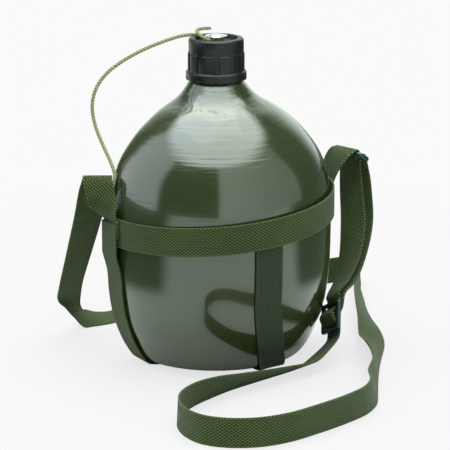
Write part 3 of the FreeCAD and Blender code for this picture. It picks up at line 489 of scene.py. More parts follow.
def mesh_object(name, shape, material):
    """Turns a finished bmesh into an object with one material."""
    bmesh.ops.recalc_face_normals(shape, faces=shape.faces)
    mesh = bpy.data.meshes.new(name)
    shape.to_mesh(mesh)
    shape.free()
    mesh.materials.append(material)
    return new_object(name, mesh)


def make_ribbon(name, stations, node, material=webbing):
    rows = ribbon_line(stations)
    shape = bmesh.new()
    layer = shape.loops.layers.uv.new("strap")
    travelled = lengths_along([row[0] for row in rows])
    rings = []
    for point, across, normal in rows:
        rings.append([shape.verts.new((point + across * x + normal * y) * MM) for x, y in SECTION])
    count = len(SECTION)
    for number, (ring, next_ring) in enumerate(zip(rings, rings[1:])):
        for k in range(count):
            following = (k + 1) % count
            face = shape.faces.new((ring[k], ring[following], next_ring[following], next_ring[k]))
            face.smooth = True
            for loop in face.loops:
                in_next = loop.vert in next_ring
                index = k if loop.vert in (ring[k], next_ring[k]) else following
                loop[layer].uv = (travelled[number + in_next] * MM, (SECTION[index][0] + MIDDLE_ACROSS) * MM)
    for ring in (rings[0], rings[-1]):
        face = shape.faces.new(ring)
        for loop in face.loops:
            loop[layer].uv = (0.0, SECTION[ring.index(loop.vert)][0] * MM)
    strap = mesh_object(name, shape, material)
    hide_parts(node)
    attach(strap, "canteen")
    print(name, "is", round(travelled[-1], 1), "mm long and has", len(strap.data.polygons), "faces")


# %% [markdown]
# The shoulder strap is one long piece. It is sewn to the harness on the left, folds over its own top,
# drops behind the canteen, runs round it on the floor, passes the slider, climbs to the bar ring and
# comes back to the slider's middle bar. Where it lies on the floor it stands on its edge or leans.

# %% Places of the slider and the bar ring
slider_centre = Vector((70.6, -57.4, 33.3))
slider_across = width_direction(-90, 27)
slider_along = Vector((0.232, 0.424, 0.875))
slider_along = (slider_along - slider_across * slider_along.dot(slider_across)).normalized()
slider_out = slider_along.cross(slider_across)
ring_low_bar = Vector((117.3, -2.9, 144.0))
ring_across = width_direction(-71, 0)
ring_level = Vector((0, 0, 1)).cross(ring_across)
ring_along = (ring_level * -0.85 + Vector((0, 0, 1)) * 0.53).normalized()
ring_high_bar = ring_low_bar + ring_along * 9.0
GAP = 0.25
BAR_ROOM = 0.5
RING_TURN = 2.0 + BAR_ROOM + WEBBING_THICKNESS / 2
pitch = 10.0
half_rail = 1.5
half_plate = 1.4
hook_along = half_rail + BAR_ROOM + WEBBING_THICKNESS / 2
hook_out = half_plate + BAR_ROOM + WEBBING_THICKNESS / 2
hook_diagonal = 0.8
over_bar = -(hook_out + WEBBING_THICKNESS + GAP)
under_rail = half_plate + BAR_ROOM + WEBBING_THICKNESS / 2
outside_rail = under_rail + WEBBING_THICKNESS + GAP + 1.1
rail_corner = pitch - half_rail


def by_slider(along, out):
    return slider_centre + slider_along * along + slider_out * out, slider_across, 0.0


def by_ring(bar, degrees):
    level = math.cos(math.radians(degrees)) * RING_TURN
    rise = math.sin(math.radians(degrees)) * RING_TURN
    return bar + ring_level * level + Vector((0, 0, 1)) * rise, ring_across, 0.0


# %% Shoulder strap
NECK_FOOT = 20.0
SIDE_REACH = 68.4
BACK_REACH = 16.1
BODY_HALF = NECK_FOOT + SIDE_REACH
BODY_BACK = NECK_FOOT + BACK_REACH
SWELL = 0.25
BAND_INNER = BODY_HALF + SWELL + GAP
first_layer = BAND_INNER + WEBBING_THICKNESS + GAP + WEBBING_THICKNESS / 2
second_layer = first_layer + WEBBING_THICKNESS + GAP
LEFT_TURN = 4.9


def left_station(reach, height):
    """Station on the left side, at a distance from the neck's axis."""
    turn = math.radians(LEFT_TURN)
    return station(-reach * math.cos(turn), -reach * math.sin(turn), height, -90 + LEFT_TURN, 0)


shoulder_stations = [
    left_station(first_layer, 104),
    left_station(first_layer, 115.4),
    left_station(first_layer, 116.9),
    station(-92.7, -7.4, 120.0, -78, 0),
    station(-94.7, -7.1, 124.0, -64, 0),
    station(-97.7, -6.7, 132.0, -32, 0),
    station(-98.3, -3.9, 140.5, -26, 0),
    station(-98.6, -1.5, 145.0, -25, 0),
    station(-98.0, 0.4, 147.6, -25, 0),
    station(-97.0, 2.8, 148.9, -25, 0),
    station(-96.0, 5.0, 147.6, -25, 0),
    station(-96.0, 7.0, 144.2, -25, 0),
    station(-95.6, 14.9, 134.5, -23, 0),
    station(-94.0, 29.7, 112, -12, 0),
    station(-92.5, 53.0, 78, 2, 0),
    station(-91.5, 75.0, 45, 13, 0),
    station(-89.0, 85.5, 32.2, 16, 0, 0.5),
    station(-84.0, 91.9, 22.3, 37, -4, 0.9),
    station(-77.2, 98.6, 13.7, 56, 8, 0.9),
    station(-68.5, 104.2, FLOOR, 74, 22, 0.8),
    station(-51.5, 107.0, FLOOR, 99, 11, 0.2),
    station(-34.0, 111.5, FLOOR, 106, 6),
    station(-12.0, 115.0, FLOOR, 105, 30),
    station(12.0, 116.5, FLOOR, 100, 68),
    station(36.0, 116.8, FLOOR, 0, 90),
    station(66.0, 117.4, FLOOR, 0, 90),
    station(104.0, 119.5, FLOOR, 0, 90),
    station(142.0, 123.5, FLOOR, 0, 90),
    station(172.0, 127.0, FLOOR, 0, 90),
    station(184.0, 126.0, FLOOR, 155, 88),
    station(189.0, 119.0, FLOOR, 155, 86),
    station(185.0, 110.0, FLOOR, 155, 84),
    station(177.0, 97.0, FLOOR, 155, 81),
    station(165.0, 72.0, FLOOR, 155, 72),
    station(152.0, 46.0, FLOOR, 155, 63),
    station(140.0, 18.0, FLOOR, 155, 52),
    station(130.0, -9.0, FLOOR, 155, 36),
    station(117.0, -38.0, FLOOR, 155, 22),
    station(99.0, -72.0, FLOOR, 155, 48),
    station(88.0, -95.0, FLOOR, 155, 68),
    station(72.0, -127.0, FLOOR, 155, 81),
    station(57.0, -151.0, FLOOR, 155, 72),
    station(47.0, -170.0, FLOOR, 155, 79),
    station(33.0, -184.5, FLOOR, 155, 86),
    station(11.0, -196.0, FLOOR, 0, 90),
    station(-18.0, -206.5, FLOOR, 0, 90),
    station(-44.0, -213.5, FLOOR, 0, 90),
    station(-67.0, -213.3, FLOOR, 0, 90),
    station(-87.0, -205.0, FLOOR, 0, 90),
    station(-99.5, -192.0, FLOOR, 0, 90),
    station(-104.0, -175.0, FLOOR, 0, 90),
    station(-102.0, -157.0, FLOOR, -69, 88),
    station(-94.0, -140.0, FLOOR, -69, 84),
    station(-82.0, -127.0, FLOOR, -69, 78),
    station(-69.0, -118.0, FLOOR, -69, 72),
    station(-54.0, -111.0, FLOOR, -69, 64),
    station(-32.0, -102.5, FLOOR, -69, 50),
    station(-8.0, -95.0, FLOOR, -69, 40),
    station(15.0, -88.0, FLOOR, -69, 33),
    station(38.0, -80.0, FLOOR, -69, 27),
    station(53.0, -72.0, 9.4, -76, 28),
    by_slider(-pitch * 1.7, 1.9),
    by_slider(-pitch - half_rail, under_rail + 0.1),
    by_slider(-rail_corner - 0.6, under_rail),
    by_slider(-rail_corner + 0.8, half_plate + 0.5),
    by_slider(-hook_along - 0.9, -hook_out - 0.2),
    by_slider(0, over_bar),
    by_slider(hook_along + 0.9, -hook_out - 0.2),
    by_slider(rail_corner - 0.8, half_plate + 0.5),
    by_slider(rail_corner + 0.6, under_rail),
    by_slider(pitch + half_rail, under_rail + 0.1),
    by_slider(pitch * 1.7, 1.9),
    station(89.3, -39.6, 56.0, -81, 21),
    station(100.7, -30.4, 71.5, -71, 9),
    station(109.0, -19.6, 94.6, -60, 0),
    station(111.9, -10.6, 118.1, -66, 0),
    station(114.0, -4.6, 135.0, -71, 0),
    by_ring(ring_low_bar, 180),
    by_ring(ring_low_bar, 135),
    by_ring(ring_low_bar, 90),
    by_ring(ring_low_bar, 45),
    by_ring(ring_low_bar, 0),
    station(122.8, -1.4, 133.0, -70, 0),
    station(122.6, -5.6, 117.0, -66, 0),
    station(119.6, -12.6, 94.0, -60, 0),
    station(107.6, -26.8, 69.0, -71, 9),
    station(95.0, -38.6, 53.0, -81, 21),
    by_slider(pitch * 1.6, outside_rail + 0.9),
    by_slider(pitch, outside_rail),
    by_slider(pitch * 0.55, outside_rail - 0.9),
    by_slider(hook_along, hook_out + 0.4),
    by_slider(0, hook_out),
    by_slider(-hook_along * hook_diagonal, hook_out * hook_diagonal),
    by_slider(-hook_along, 0),
    by_slider(-hook_along * hook_diagonal, -hook_out * hook_diagonal),
    by_slider(0, -hook_out),
    by_slider(hook_along * 0.7, -hook_out),
]
make_ribbon("shoulder_webbing", shoulder_stations, "shoulder_strap")

# %% Short strap
short_stations = [
    station(second_layer, 0, 112, -90, 0),
    station(second_layer, 0, 119.5, -90, 0),
    station(second_layer, 0, 121.5, -90, 0),
    station(95.4, -1.6, 131, -90, -14),
    station(97.0, -4.2, 139, -88, -20),
    station(99.8, -6.8, 146, -83, -17),
    station(103.8, -7.5, 150.2, -76, -8),
    station(107.0, -6.7, 151.6, -72, -2),
    by_ring(ring_high_bar, 90),
    by_ring(ring_high_bar, 45),
    by_ring(ring_high_bar, 0),
    by_ring(ring_high_bar, -45),
    by_ring(ring_high_bar, -90),
    by_ring(ring_high_bar, -118),
]
make_ribbon("short_webbing", short_stations, "short_strap")

# %% [markdown]
# The harness lies on the body, so it needs the body's own form: a curved profile, and sections that are
# round in front and flatter behind. The same few numbers give the body, the band and the two straps.

# %% Form of the body
BASE = 2 * WEBBING_THICKNESS + 2 * GAP
SHOULDER = 215.7
PROFILE = [
    (0.00, 0.64), (0.012, 0.69), (0.035, 0.745), (0.0746, 0.81), (0.1675, 0.922), (0.29, 0.98),
    (0.435, 0.997), (0.58, 0.991), (0.703, 0.908), (0.806, 0.708), (0.8886, 0.428), (0.947, 0.14),
    (1.00, 0.0),
]
profile_points = [Vector((BASE + z * (SHOULDER - BASE), share, 0)) for z, share in PROFILE]
profile_knots = [0.0]
for first, second in zip(PROFILE, PROFILE[1:]):
    step = math.hypot(second[0] - first[0], second[1] - first[1])
    profile_knots.append(profile_knots[-1] + math.sqrt(step))


def profile_rows(pieces=6):
    rows = []
    for i in range(len(profile_points) - 1):
        for j in range(pieces):
            at = profile_knots[i] + (profile_knots[i + 1] - profile_knots[i]) * j / pieces
            row = curve_value(profile_points, profile_knots, i, at)
            rows.append((row.x, row.y))
    rows.append((profile_points[-1].x, profile_points[-1].y))
    return rows


body_rows = profile_rows()


def share_at(height):
    if height <= body_rows[0][0]:
        return body_rows[0][1]
    for (z0, s0), (z1, s1) in zip(body_rows, body_rows[1:]):
        if height <= z1:
            return s0 + (s1 - s0) * (height - z0) / (z1 - z0)
    return 0.0


def half_width_at(height):
    """Half the body's width, which is also how far its front stands out from the neck's axis."""
    return NECK_FOOT + SIDE_REACH * share_at(height)


def back_at(height):
    return NECK_FOOT + BACK_REACH * share_at(height)


# %% Front and side straps
BAND_HEIGHT = 115.5
BAND_TILT = math.radians(4.8)
LOW = BASE + (SHOULDER - BASE) * 0.05
SKIN = SWELL + GAP + WEBBING_THICKNESS / 2
LOWER = WEBBING_THICKNESS / 2
UPPER = 1.5 * WEBBING_THICKNESS + GAP


def front_stations():
    top = BAND_HEIGHT + WEBBING_WIDTH * 0.42
    rows = []
    for number in range(13):
        height = top + (LOW - top) * number / 12
        x = 2.0 + 14.0 * max(0.0, 1 - (height - BASE) / 60.0) ** 1.7
        depth = half_width_at(height) + SKIN
        y = -depth * math.sqrt(1 - (x / depth) ** 2)
        rows.append(station(x, y, height, math.degrees(math.asin(x / depth)), 0))
    front_edge = half_width_at(BASE + 0.5)
    back_edge = back_at(BASE + 0.5)
    rows += [
        station(16.0, -front_edge - 1.0, BASE + 0.4, 12, 0),
        station(16.0, -front_edge + 5.0, LOWER + 0.7, 10, 0),
        station(16.0, -front_edge + 11.0, LOWER, 8, 0),
        station(16.0, -front_edge + 18.0, LOWER + 0.2, 5, 0),
        station(12.6, -20.9, UPPER - 0.2, 3, 0),
        station(9.8, -11.0, UPPER, 0, 0),
        station(7.0, 0, UPPER, 0, 0),
        station(4.2, 11.0, UPPER, 0, 0),
        station(2.8, back_edge - 8.0, UPPER - 0.5, 0, 0),
        station(1.4, back_edge - 1.0, LOWER + 0.5, 0, 0),
        station(0, back_edge + 2.1, BASE + 0.6, 0, 0),
    ]
    for number in range(13):
        height = LOW + (top - LOW) * number / 12
        rows.append(station(0, back_at(height) + SKIN, height, 0, 0))
    return rows


def band_at(x):
    """Height of the girth band's middle."""
    return BAND_HEIGHT + math.tan(BAND_TILT) * x


def band_top_at(x):
    """Height of the girth band's upper edge."""
    return band_at(x) + WEBBING_WIDTH / 2


def side_stations():
    left_top = band_top_at(-second_layer) - WEBBING_WIDTH * 0.17
    right_top = band_top_at(first_layer) - WEBBING_WIDTH * 0.08
    left_under = left_top - WEBBING_WIDTH * 1.1
    right_under = right_top - WEBBING_WIDTH * 1.1
    edge = half_width_at(BASE + 0.5)
    rows = [left_station(second_layer, left_top), left_station(second_layer, left_under + 3.0),
            left_station(second_layer, left_under)]
    for number in range(1, 6):
        height = left_under + (LOW - left_under) * number / 5
        rows.append(left_station(half_width_at(height) + SKIN, height))
    left_foot = left_station(edge - 9.0, LOWER)
    right_foot = station(edge - 9.0, 0, LOWER, -90, 0)
    rows += [left_station(edge + 1.5, BASE - 0.3), left_station(edge - 4.0, LOWER + 0.7), left_foot]
    for share in (0.3, 0.4, 0.6, 0.7):
        point = left_foot[0] + (right_foot[0] - left_foot[0]) * share
        rows.append(station(point.x, point.y, LOWER, -90 + LEFT_TURN / 2, 0))
    rows += [right_foot, station(edge - 4.0, 0, LOWER + 0.7, -90, 0),
             station(edge + 1.5, 0, BASE - 0.3, -90, 0)]
    for number in range(5):
        height = LOW + (right_under - LOW) * number / 5
        rows.append(station(half_width_at(height) + SKIN, 0, height, -90, 0))
    rows += [station(first_layer, 0, right_under, -90, 0), station(first_layer, 0, right_under + 3.0, -90, 0),
             station(first_layer, 0, right_top, -90, 0)]
    return rows


make_ribbon("front_webbing", front_stations(), "front_strap", shaded_webbing)
make_ribbon("side_webbing", side_stations(), "side_strap")

# %% [markdown]
# The girth band is a hoop sewn shut behind the left side strap, so it can be a ribbon like the others
# whose two ends meet there. It lies a little higher on the right, which its tilt gives.

# %% Girth band
def edge_rise(radius):
    """How far the edges of a flat strap stand off a round form that its middle touches."""
    return WEBBING_WIDTH ** 2 / (8 * radius)


def band_stations():
    layer = SWELL + GAP + WEBBING_THICKNESS + GAP + WEBBING_THICKNESS / 2
    front = BODY_HALF + layer + edge_rise(BODY_HALF)
    behind = BODY_BACK + layer + edge_rise(BODY_HALF ** 2 / BODY_BACK)
    half = BAND_INNER + WEBBING_THICKNESS / 2
    rows = []
    for number in range(65):
        turn = math.pi + 2 * math.pi * number / 64
        depth = front if math.sin(turn) < 0 else behind
        x = half * math.cos(turn)
        rows.append((Vector((x, depth * math.sin(turn), band_at(x))), Vector((0, 0, 1)), 1.0))
    return rows


make_ribbon("girth_webbing", band_stations(), "girth_band")

# %% [markdown]
# The body is spun from one disc of sheet. Here a circle is raised ring by ring and scaled to the
# profile, over the neck's lip and down the inside, and then its back half is pressed flatter.


# %% Turned forms
SMOOTH_BELOW = 40


def turned_form(name, outline, steps):
    """A circle raised and scaled through radius and height pairs, in millimetres."""
    deselect_everything()
    radius, height = outline[0]
    bpy.ops.mesh.primitive_circle_add(vertices=steps, radius=radius * MM, location=(0, 0, 0))
    thing = bpy.context.object
    thing.name = name
    bpy.ops.object.mode_set(mode="EDIT")
    bpy.ops.mesh.select_all(action="SELECT")
    bpy.ops.transform.translate(value=(0, 0, height * MM))
    for next_radius, next_height in outline[1:]:
        lift = (0, 0, (next_height - height) * MM)
        bpy.ops.mesh.extrude_region_move(TRANSFORM_OT_translate={"value": lift})
        factor = next_radius / radius
        bpy.ops.transform.resize(value=(factor, factor, 1), center_override=(0, 0, next_height * MM))
        radius, height = next_radius, next_height
    bpy.ops.object.mode_set(mode="OBJECT")
    return thing


def finish_turned(thing, join_ends=False):
    """Makes a turned form's faces point outwards, after joining its two open ends if asked to."""
    select_only(thing)
    bpy.ops.object.mode_set(mode="EDIT")
    bpy.ops.mesh.select_all(action="DESELECT")
    bpy.ops.mesh.select_mode(type="EDGE")
    bpy.ops.mesh.select_non_manifold(extend=False, use_wire=False, use_boundary=True,
                                     use_multi_face=False, use_non_contiguous=False, use_verts=False)
    if join_ends:
        bpy.ops.mesh.bridge_edge_loops()
    bpy.ops.mesh.select_all(action="SELECT")
    bpy.ops.mesh.normals_make_consistent(inside=False)
    bpy.ops.object.mode_set(mode="OBJECT")


def shade_round(thing):
    select_only(thing)
    bpy.ops.object.shade_smooth_by_angle(angle=math.radians(SMOOTH_BELOW))
    thing.select_set(False)


# %% Body
WALL = 1.3
BASE_WALL = 1.2
# The middle of the base stays open under the crossed straps
CENTRE_HOLE = 2.0


def body_outline():
    foot = NECK_FOOT + SIDE_REACH * body_rows[0][1]
    outline = [(CENTRE_HOLE, BASE)]
    outline += [(foot * share, BASE) for share in (0.5, 0.9, 0.985)]
    for number, (height, share) in enumerate(body_rows):
        lift = 0.25 if number == 0 else 0.0
        outline.append((NECK_FOOT + SIDE_REACH * share, height + lift))
    outline += [(17.25, 215.75), (17.2, 216.2), (17.2, 239.2), (16.9, 239.85), (16.3, 240.1), (15.4, 240.1),
                (14.8, 239.85), (14.5, 239.2), (14.5, 214.0)]
    for height, share in reversed(body_rows[:-3]):
        outline.append((NECK_FOOT + SIDE_REACH * share - WALL, max(height - 0.4, BASE + BASE_WALL)))
    outline.append((CENTRE_HOLE, BASE + BASE_WALL))
    return outline


body = turned_form("canteen_body", body_outline(), 160)
for vertex in body.data.vertices:
    x, y, z = vertex.co
    if y > 0:
        share = share_at(z / MM)
        vertex.co.y = y * (NECK_FOOT + BACK_REACH * share) / (NECK_FOOT + SIDE_REACH * share)
finish_turned(body)
shade_round(body)
body.data.materials.append(green_paint)
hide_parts("bottle")
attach(body, "canteen")
print("body has", len(body.data.polygons), "faces")

# %% [markdown]
# The cap screws onto a rounded thread on the neck: a right-handed ridge that climbs 4 mm a turn, as the
# cap does, and runs out at both ends. Its crest stays clear of the cap's bore of 18.4 mm radius.

# %% Neck thread
THREAD_FOOT = 223.5
THREAD_TURNS = 3
THREAD_RISE = 4.0
STEPS_A_TURN = 72
RUN_OUT_STEPS = 18


def join_rings(shape, rings):
    """Skins a row of rings with smooth faces and closes both ends."""
    count = len(rings[0])
    for first, second in zip(rings, rings[1:]):
        for k in range(count):
            following = (k + 1) % count
            face = shape.faces.new((first[k], first[following], second[following], second[k]))
            face.smooth = True
    shape.faces.new(rings[0])
    shape.faces.new(rings[-1])


def make_thread():
    shape = bmesh.new()
    steps = THREAD_TURNS * STEPS_A_TURN
    rings = []
    for number in range(steps + 1):
        turn = 2 * math.pi * number / STEPS_A_TURN
        height = THREAD_FOOT + THREAD_RISE * number / STEPS_A_TURN
        crest = 17.25 + 0.8 * min(1.0, number / RUN_OUT_STEPS, (steps - number) / RUN_OUT_STEPS)
        profile = ((17.1, -1.0), (crest, -0.4), (crest, 0.4), (17.1, 1.0))
        rings.append([shape.verts.new((radius * math.cos(turn) * MM, radius * math.sin(turn) * MM,
                                       (height + lift) * MM)) for radius, lift in profile])
    join_rings(shape, rings)
    thread = mesh_object("neck_thread", shape, green_paint)
    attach(thread, "canteen")
    return thread


shade_round(make_thread())

# %% [markdown]
# The cap is moulded: a turned form whose grip has ten shallow recesses, and whose collar has ten small
# notches under them. The faces of each recess are picked by their place and pushed inwards together,
# and a bevel softens every edge as a mould does.

# %% Cap
CAP_OUTLINE = [
    (18.4, 216.1), (23.1, 216.1), (23.1, 219.3), (23.1, 221.6), (21.6, 222.8), (21.6, 234.4), (21.6, 235.6),
    (21.0, 236.2), (21.0, 238.4), (21.0, 245.7), (20.75, 246.5), (20.1, 247.15), (19.2, 247.4), (16.3, 247.4),
    (16.3, 244.4), (3.2, 244.4), (3.2, 242.0), (18.4, 242.0),
]
FLUTE_TURN = -6.5
# Lowest and highest place, least radius, half the angle, and radius of the floor of each kind of recess
RECESSES = ((222.9, 238.3, 20.9, 7.0, 20.6), (216.5, 219.2, 23.0, 5.0, 22.6))


def pick_faces(thing, low, high, least_radius, half_angle):
    """Selects the outer faces between two heights that lie within an angle of a flute's middle."""
    for polygon in thing.data.polygons:
        middle = polygon.center
        radius = math.hypot(middle.x, middle.y)
        turn = math.degrees(math.atan2(middle.y, middle.x)) - FLUTE_TURN
        away = abs((turn + 18) % 36 - 18)
        polygon.select = low < middle.z / MM < high and radius / MM > least_radius and away < half_angle


cap = turned_form("cap_body", CAP_OUTLINE, 180)
finish_turned(cap, join_ends=True)
for low, high, least_radius, half_angle, floor_radius in RECESSES:
    select_only(cap)
    bpy.ops.object.mode_set(mode="EDIT")
    bpy.ops.mesh.select_mode(type="FACE")
    bpy.ops.mesh.select_all(action="DESELECT")
    bpy.ops.object.mode_set(mode="OBJECT")
    pick_faces(cap, low, high, least_radius, half_angle)
    bpy.ops.object.mode_set(mode="EDIT")
    bpy.ops.mesh.extrude_region_shrink_fatten(
        TRANSFORM_OT_shrink_fatten={"value": -0.01 * MM, "use_even_offset": True})
    bpy.ops.object.mode_set(mode="OBJECT")
    for vertex in cap.data.vertices:
        if vertex.select:
            factor = floor_radius * MM / math.hypot(vertex.co.x, vertex.co.y)
            vertex.co.x *= factor
            vertex.co.y *= factor
soften = cap.modifiers.new("soft_edges", "BEVEL")
soften.width = 0.22 * MM
soften.segments = 2
soften.limit_method = "ANGLE"
soften.angle_limit = math.radians(30)
bpy.ops.object.modifier_apply(modifier="soft_edges")
shade_round(cap)
cap.data.materials.append(black_plastic)
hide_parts("cap_shell")
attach(cap, "cap")
print("cap has", len(cap.data.polygons), "faces")

# %% [markdown]
# The cap's cord is three yarns laid round each other. A spline through the route's points gives the
# middle line, and each yarn is a thin tube that winds round it.

# %% Cord maker
CORD_THICKNESS = 3.0
YARNS = 3
YARN_SIDES = 8
YARN_LAY = 7.5 * MM
YARN_OFFSET = CORD_THICKNESS * 0.245 * MM
YARN_RADIUS = CORD_THICKNESS * 0.255 * MM


def centre_line(points):
    """Points in metres along a smooth spline whose control points are the route's points."""
    curve = bpy.data.curves.new("route", "CURVE")
    curve.dimensions = "3D"
    curve.resolution_u = 16
    spline = curve.splines.new("NURBS")
    spline.points.add(len(points) - 1)
    for place, point in zip(spline.points, points):
        place.co = (point[0] * MM, point[1] * MM, point[2] * MM, 1)
    spline.order_u = 3
    spline.use_endpoint_u = True
    holder = new_object("route", curve)
    bpy.context.view_layer.update()
    line = bpy.data.meshes.new_from_object(holder)
    places = [vertex.co.copy() for vertex in line.vertices]
    bpy.data.objects.remove(holder)
    bpy.data.meshes.remove(line)
    return places


def even_line(places, pace):
    """The same line with points at an even pace."""
    travelled = lengths_along(places)
    count = max(2, round(travelled[-1] / pace))
    result = []
    at = 0
    for number in range(count + 1):
        wanted = travelled[-1] * number / count
        while at < len(places) - 2 and travelled[at + 1] < wanted:
            at += 1
        share = (wanted - travelled[at]) / max(travelled[at + 1] - travelled[at], 1e-9)
        result.append(places[at].lerp(places[at + 1], share))
    return result, travelled[-1]


def twisted_cord(name, points):
    line, length = even_line(centre_line(points), 0.55 * MM)
    shape = bmesh.new()
    frames = []
    side = None
    for number, place in enumerate(line):
        ahead = line[min(number + 1, len(line) - 1)]
        behind = line[max(number - 1, 0)]
        along = (ahead - behind).normalized()
        if side is None:
            side = along.cross(Vector((0, 0, 1))).normalized()
        side = (side - along * side.dot(along)).normalized()
        frames.append((place, side, along.cross(side)))
    for yarn in range(YARNS):
        rings = []
        for number, (place, side, rise) in enumerate(frames):
            turn = 2 * math.pi * (yarn / YARNS + number * length / (len(line) - 1) / YARN_LAY)
            middle = place + (side * math.cos(turn) + rise * math.sin(turn)) * YARN_OFFSET
            ring = []
            for k in range(YARN_SIDES):
                angle = 2 * math.pi * k / YARN_SIDES
                outward = side * math.cos(angle) + rise * math.sin(angle)
                ring.append(shape.verts.new(middle + outward * YARN_RADIUS))
            rings.append(ring)
        join_rings(shape, rings)
    cord = mesh_object(name, shape, cord_yarn)
    print(name, "is", round(length / MM, 1), "mm long")
    return cord, [tuple(place) for place in line], length


# %% Cap cord and its loop
CORD_JOINT = (-18.5, 5.2, 250.1)
band_end = -(BAND_INNER + WEBBING_THICKNESS / 2 + 0.45)
CORD_END = [
    (band_end - 6.5 * math.sin(BAND_TILT), 0.8, band_top_at(band_end) + 6.5 * math.cos(BAND_TILT)),
    (band_end, 0.8, band_top_at(band_end)),
]
CORD_ROUTE = [
    CORD_JOINT,
    (-25.0, 6.1, 250.1), (-37.5, 9.8, 246.4), (-53.0, 15.0, 240.2), (-68.0, 20.4, 231.8),
    (-80.5, 24.5, 222.2), (-88.8, 26.4, 210.2), (-92.2, 25.0, 197.0), (-91.4, 20.4, 183.6),
    (-88.6, 13.2, 171.0), (-86.0, 5.2, 160.5), (-84.8, -2.4, 151.0), (-86.2, -4.1, 145.5),
    (-88.3, -3.6, 139.0), (-89.8, -1.1, 131.5),
] + CORD_END

LOOP_HEIGHT = 244.4 + 1.5 + 0.3
LOOP_REACH = 4.8
LOOP_ROUTE = [
    CORD_JOINT,
    (-13.95, 4.57, 250.1), (-8.6, 4.9, LOOP_HEIGHT),
    (LOOP_REACH, LOOP_REACH, LOOP_HEIGHT), (LOOP_REACH, -LOOP_REACH, LOOP_HEIGHT),
    (-8.6, -4.2, LOOP_HEIGHT), (-13.4, -2.0, 249.6), (-15.6, 2.4, 253.2), (-11.0, 5.4, 254.3),
    (-2.2, 5.2, 253.8),
]
cap_cord, cord_path, cord_length = twisted_cord("cap_cord_yarns", CORD_ROUTE)
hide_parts("cap_cord")
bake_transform(cap_cord)
cord_loop, loop_path, loop_length = twisted_cord("cord_loop_yarns", LOOP_ROUTE)
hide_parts("cord_loop")
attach(cord_loop, "lifter")

# %% [markdown]
# The studio is a white floor that runs back under a white sky. Glossy paint shows its surroundings, so
# the sky is drawn by direction: broad pale areas right and left, a dark part towards the camera between
# them, white behind, and a bright ceiling for the shoulder. Turns are counted from the camera's side,
# positive to the right. The camera itself sees plain white.

# %% Floor and light
TOWARDS_CAMERA = (math.sin(VIEW_TURN), -math.cos(VIEW_TURN), 0.0)
PLAIN_WHITE = (0.957, 0.957, 0.957, 1)
FLOOR_SEEN = (0.418, 0.368, 0.4)
FLOOR_FILL = (0.58, 0.58, 0.56)
FLOOR_DARK = (0.05, 0.06, 0.05)
NEAR_WHITE = 0.76
SKY_EVERYWHERE = 0.10
SKY_LEFT = 1.9
SKY_RIGHT = 1.63
SKY_RIGHT_FALL = -0.0098
CEILING = 5.0


def dot_with(tree, vector, direction):
    node = add_node(tree, "ShaderNodeVectorMath", operation="DOT_PRODUCT")
    tree.links.new(vector, node.inputs[0])
    node.inputs[1].default_value = direction
    return node.outputs["Value"]


def turn_of(tree, vector):
    """Turn of a direction about the vertical, in degrees from the camera's side, positive to the right."""
    sideways = dot_with(tree, vector, tuple(right))
    forwards = dot_with(tree, vector, TOWARDS_CAMERA)
    return math_node(tree, "MULTIPLY", math_node(tree, "ARCTAN2", sideways, forwards), math.degrees(1))


def between(tree, value, low, high, soft):
    """One between two limits, with soft edges."""
    rising = ramp(tree, value, low - soft, low + soft)
    falling = ramp(tree, value, high - soft, high + soft)
    return math_node(tree, "MULTIPLY", rising, math_node(tree, "SUBTRACT", 1.0, falling))


deselect_everything()
bpy.ops.mesh.primitive_plane_add(size=16, location=(0, 0, 0))
floor = bpy.context.object
floor.name = "studio_floor"
floor_material, floor_tree, floor_shader = start_material("studio_floor", Roughness=0.9)
floor_shader.inputs["Specular IOR Level"].default_value = 0.0
floor_place = object_place(floor_tree)
far_away = add_node(floor_tree, "ShaderNodeVectorMath", operation="LENGTH")
floor_tree.links.new(floor_place, far_away.inputs[0])
distance = far_away.outputs["Value"]
floor_turn = turn_of(floor_tree, floor_place)
dark_turns = added(floor_tree, between(floor_tree, floor_turn, -116.0, -46.0, 8.0),
                   between(floor_tree, floor_turn, 78.0, 170.0, 8.0))
shaded_part = math_node(floor_tree, "MULTIPLY", dark_turns, ramp(floor_tree, distance, 0.2, 0.27))
rays = add_node(floor_tree, "ShaderNodeLightPath")
reflected_floor = mix_colour(floor_tree, shaded_part, FLOOR_FILL, FLOOR_DARK)
set_colour(floor_tree, floor_shader, rays.outputs["Is Camera Ray"], reflected_floor, FLOOR_SEEN)
plain_white = add_node(floor_tree, "ShaderNodeEmission")
plain_white.inputs["Color"].default_value = PLAIN_WHITE
beyond = ramp(floor_tree, distance, 0.22, 0.6)
plain_share = added(floor_tree, scaled(floor_tree, beyond, 1.0 - NEAR_WHITE), NEAR_WHITE)
seen_by_camera = math_node(floor_tree, "MULTIPLY", plain_share, rays.outputs["Is Camera Ray"])
floor_mix = add_node(floor_tree, "ShaderNodeMixShader")
floor_tree.links.new(seen_by_camera, floor_mix.inputs[0])
floor_tree.links.new(floor_shader.outputs[0], floor_mix.inputs[1])
floor_tree.links.new(plain_white.outputs[0], floor_mix.inputs[2])
floor_tree.links.new(floor_mix.outputs[0], floor_tree.nodes["Material Output"].inputs["Surface"])
floor.data.materials.append(floor_material)

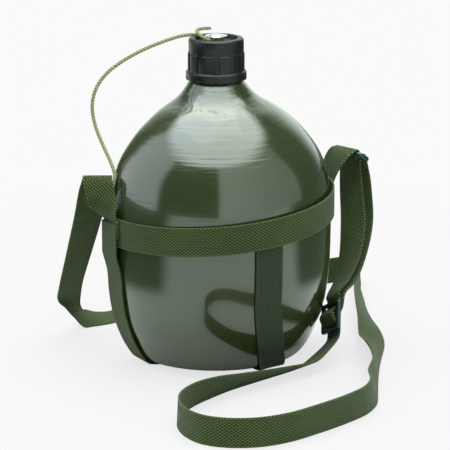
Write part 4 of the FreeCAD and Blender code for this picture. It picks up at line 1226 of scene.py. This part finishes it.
world = bpy.data.worlds.new("studio_sky")
bpy.context.scene.world = world
world.use_nodes = True
sky = world.node_tree
lit = sky.nodes["Background"]
sky_place = add_node(sky, "ShaderNodeTexCoord").outputs["Generated"]
sky_turn = turn_of(sky, sky_place)
sky_rise = dot_with(sky, sky_place, (0.0, 0.0, 1.0))
under_ceiling = math_node(sky, "SUBTRACT", 1.0, ramp(sky, sky_rise, 0.72, 0.84))
right_fall = math_node(sky, "MULTIPLY_ADD", sky_turn, SKY_RIGHT_FALL, SKY_RIGHT)
right_area = math_node(sky, "MULTIPLY", between(sky, sky_turn, 3.0, 95.0, 3.0), right_fall)
left_area = scaled(sky, between(sky, sky_turn, -119.0, -61.0, 5.0), SKY_LEFT)
sides = math_node(sky, "MULTIPLY", added(sky, right_area, left_area), under_ceiling)
behind = ramp(sky, math_node(sky, "ABSOLUTE", sky_turn), 132.0, 158.0)
ceiling = scaled(sky, ramp(sky, sky_rise, 0.74, 0.86), CEILING)
strength = added(sky, sides, behind, ceiling, SKY_EVERYWHERE)
sky.links.new(mix_colour(sky, left_area, (0.88, 1.0, 0.92), (0.86, 0.97, 1.0)), lit.inputs["Color"])
sky.links.new(strength, lit.inputs["Strength"])
white = add_node(sky, "ShaderNodeBackground")
white.inputs["Color"].default_value = PLAIN_WHITE
sky_rays = add_node(sky, "ShaderNodeLightPath")
sky_mix = add_node(sky, "ShaderNodeMixShader")
sky.links.new(sky_rays.outputs["Is Camera Ray"], sky_mix.inputs[0])
sky.links.new(lit.outputs[0], sky_mix.inputs[1])
sky.links.new(white.outputs[0], sky_mix.inputs[2])
sky.links.new(sky_mix.outputs[0], sky.nodes["World Output"].inputs["Surface"])

# %% [markdown]
# One soft lamp above and behind gives the canteen its faint shadow on the floor.

# %% Lamp
lamp_data = bpy.data.lights.new("top_softbox", "AREA")
lamp_data.shape = "RECTANGLE"
lamp_data.size = 1.2
lamp_data.size_y = 1.2
lamp_data.energy = 4.0
top_lamp = new_object("top_softbox", lamp_data)
top_lamp.location = (0.0, 0.3, 1.8)
top_lamp.rotation_euler = (Vector((0, 0, 0.1)) - top_lamp.location).to_track_quat("-Z", "Y").to_euler()
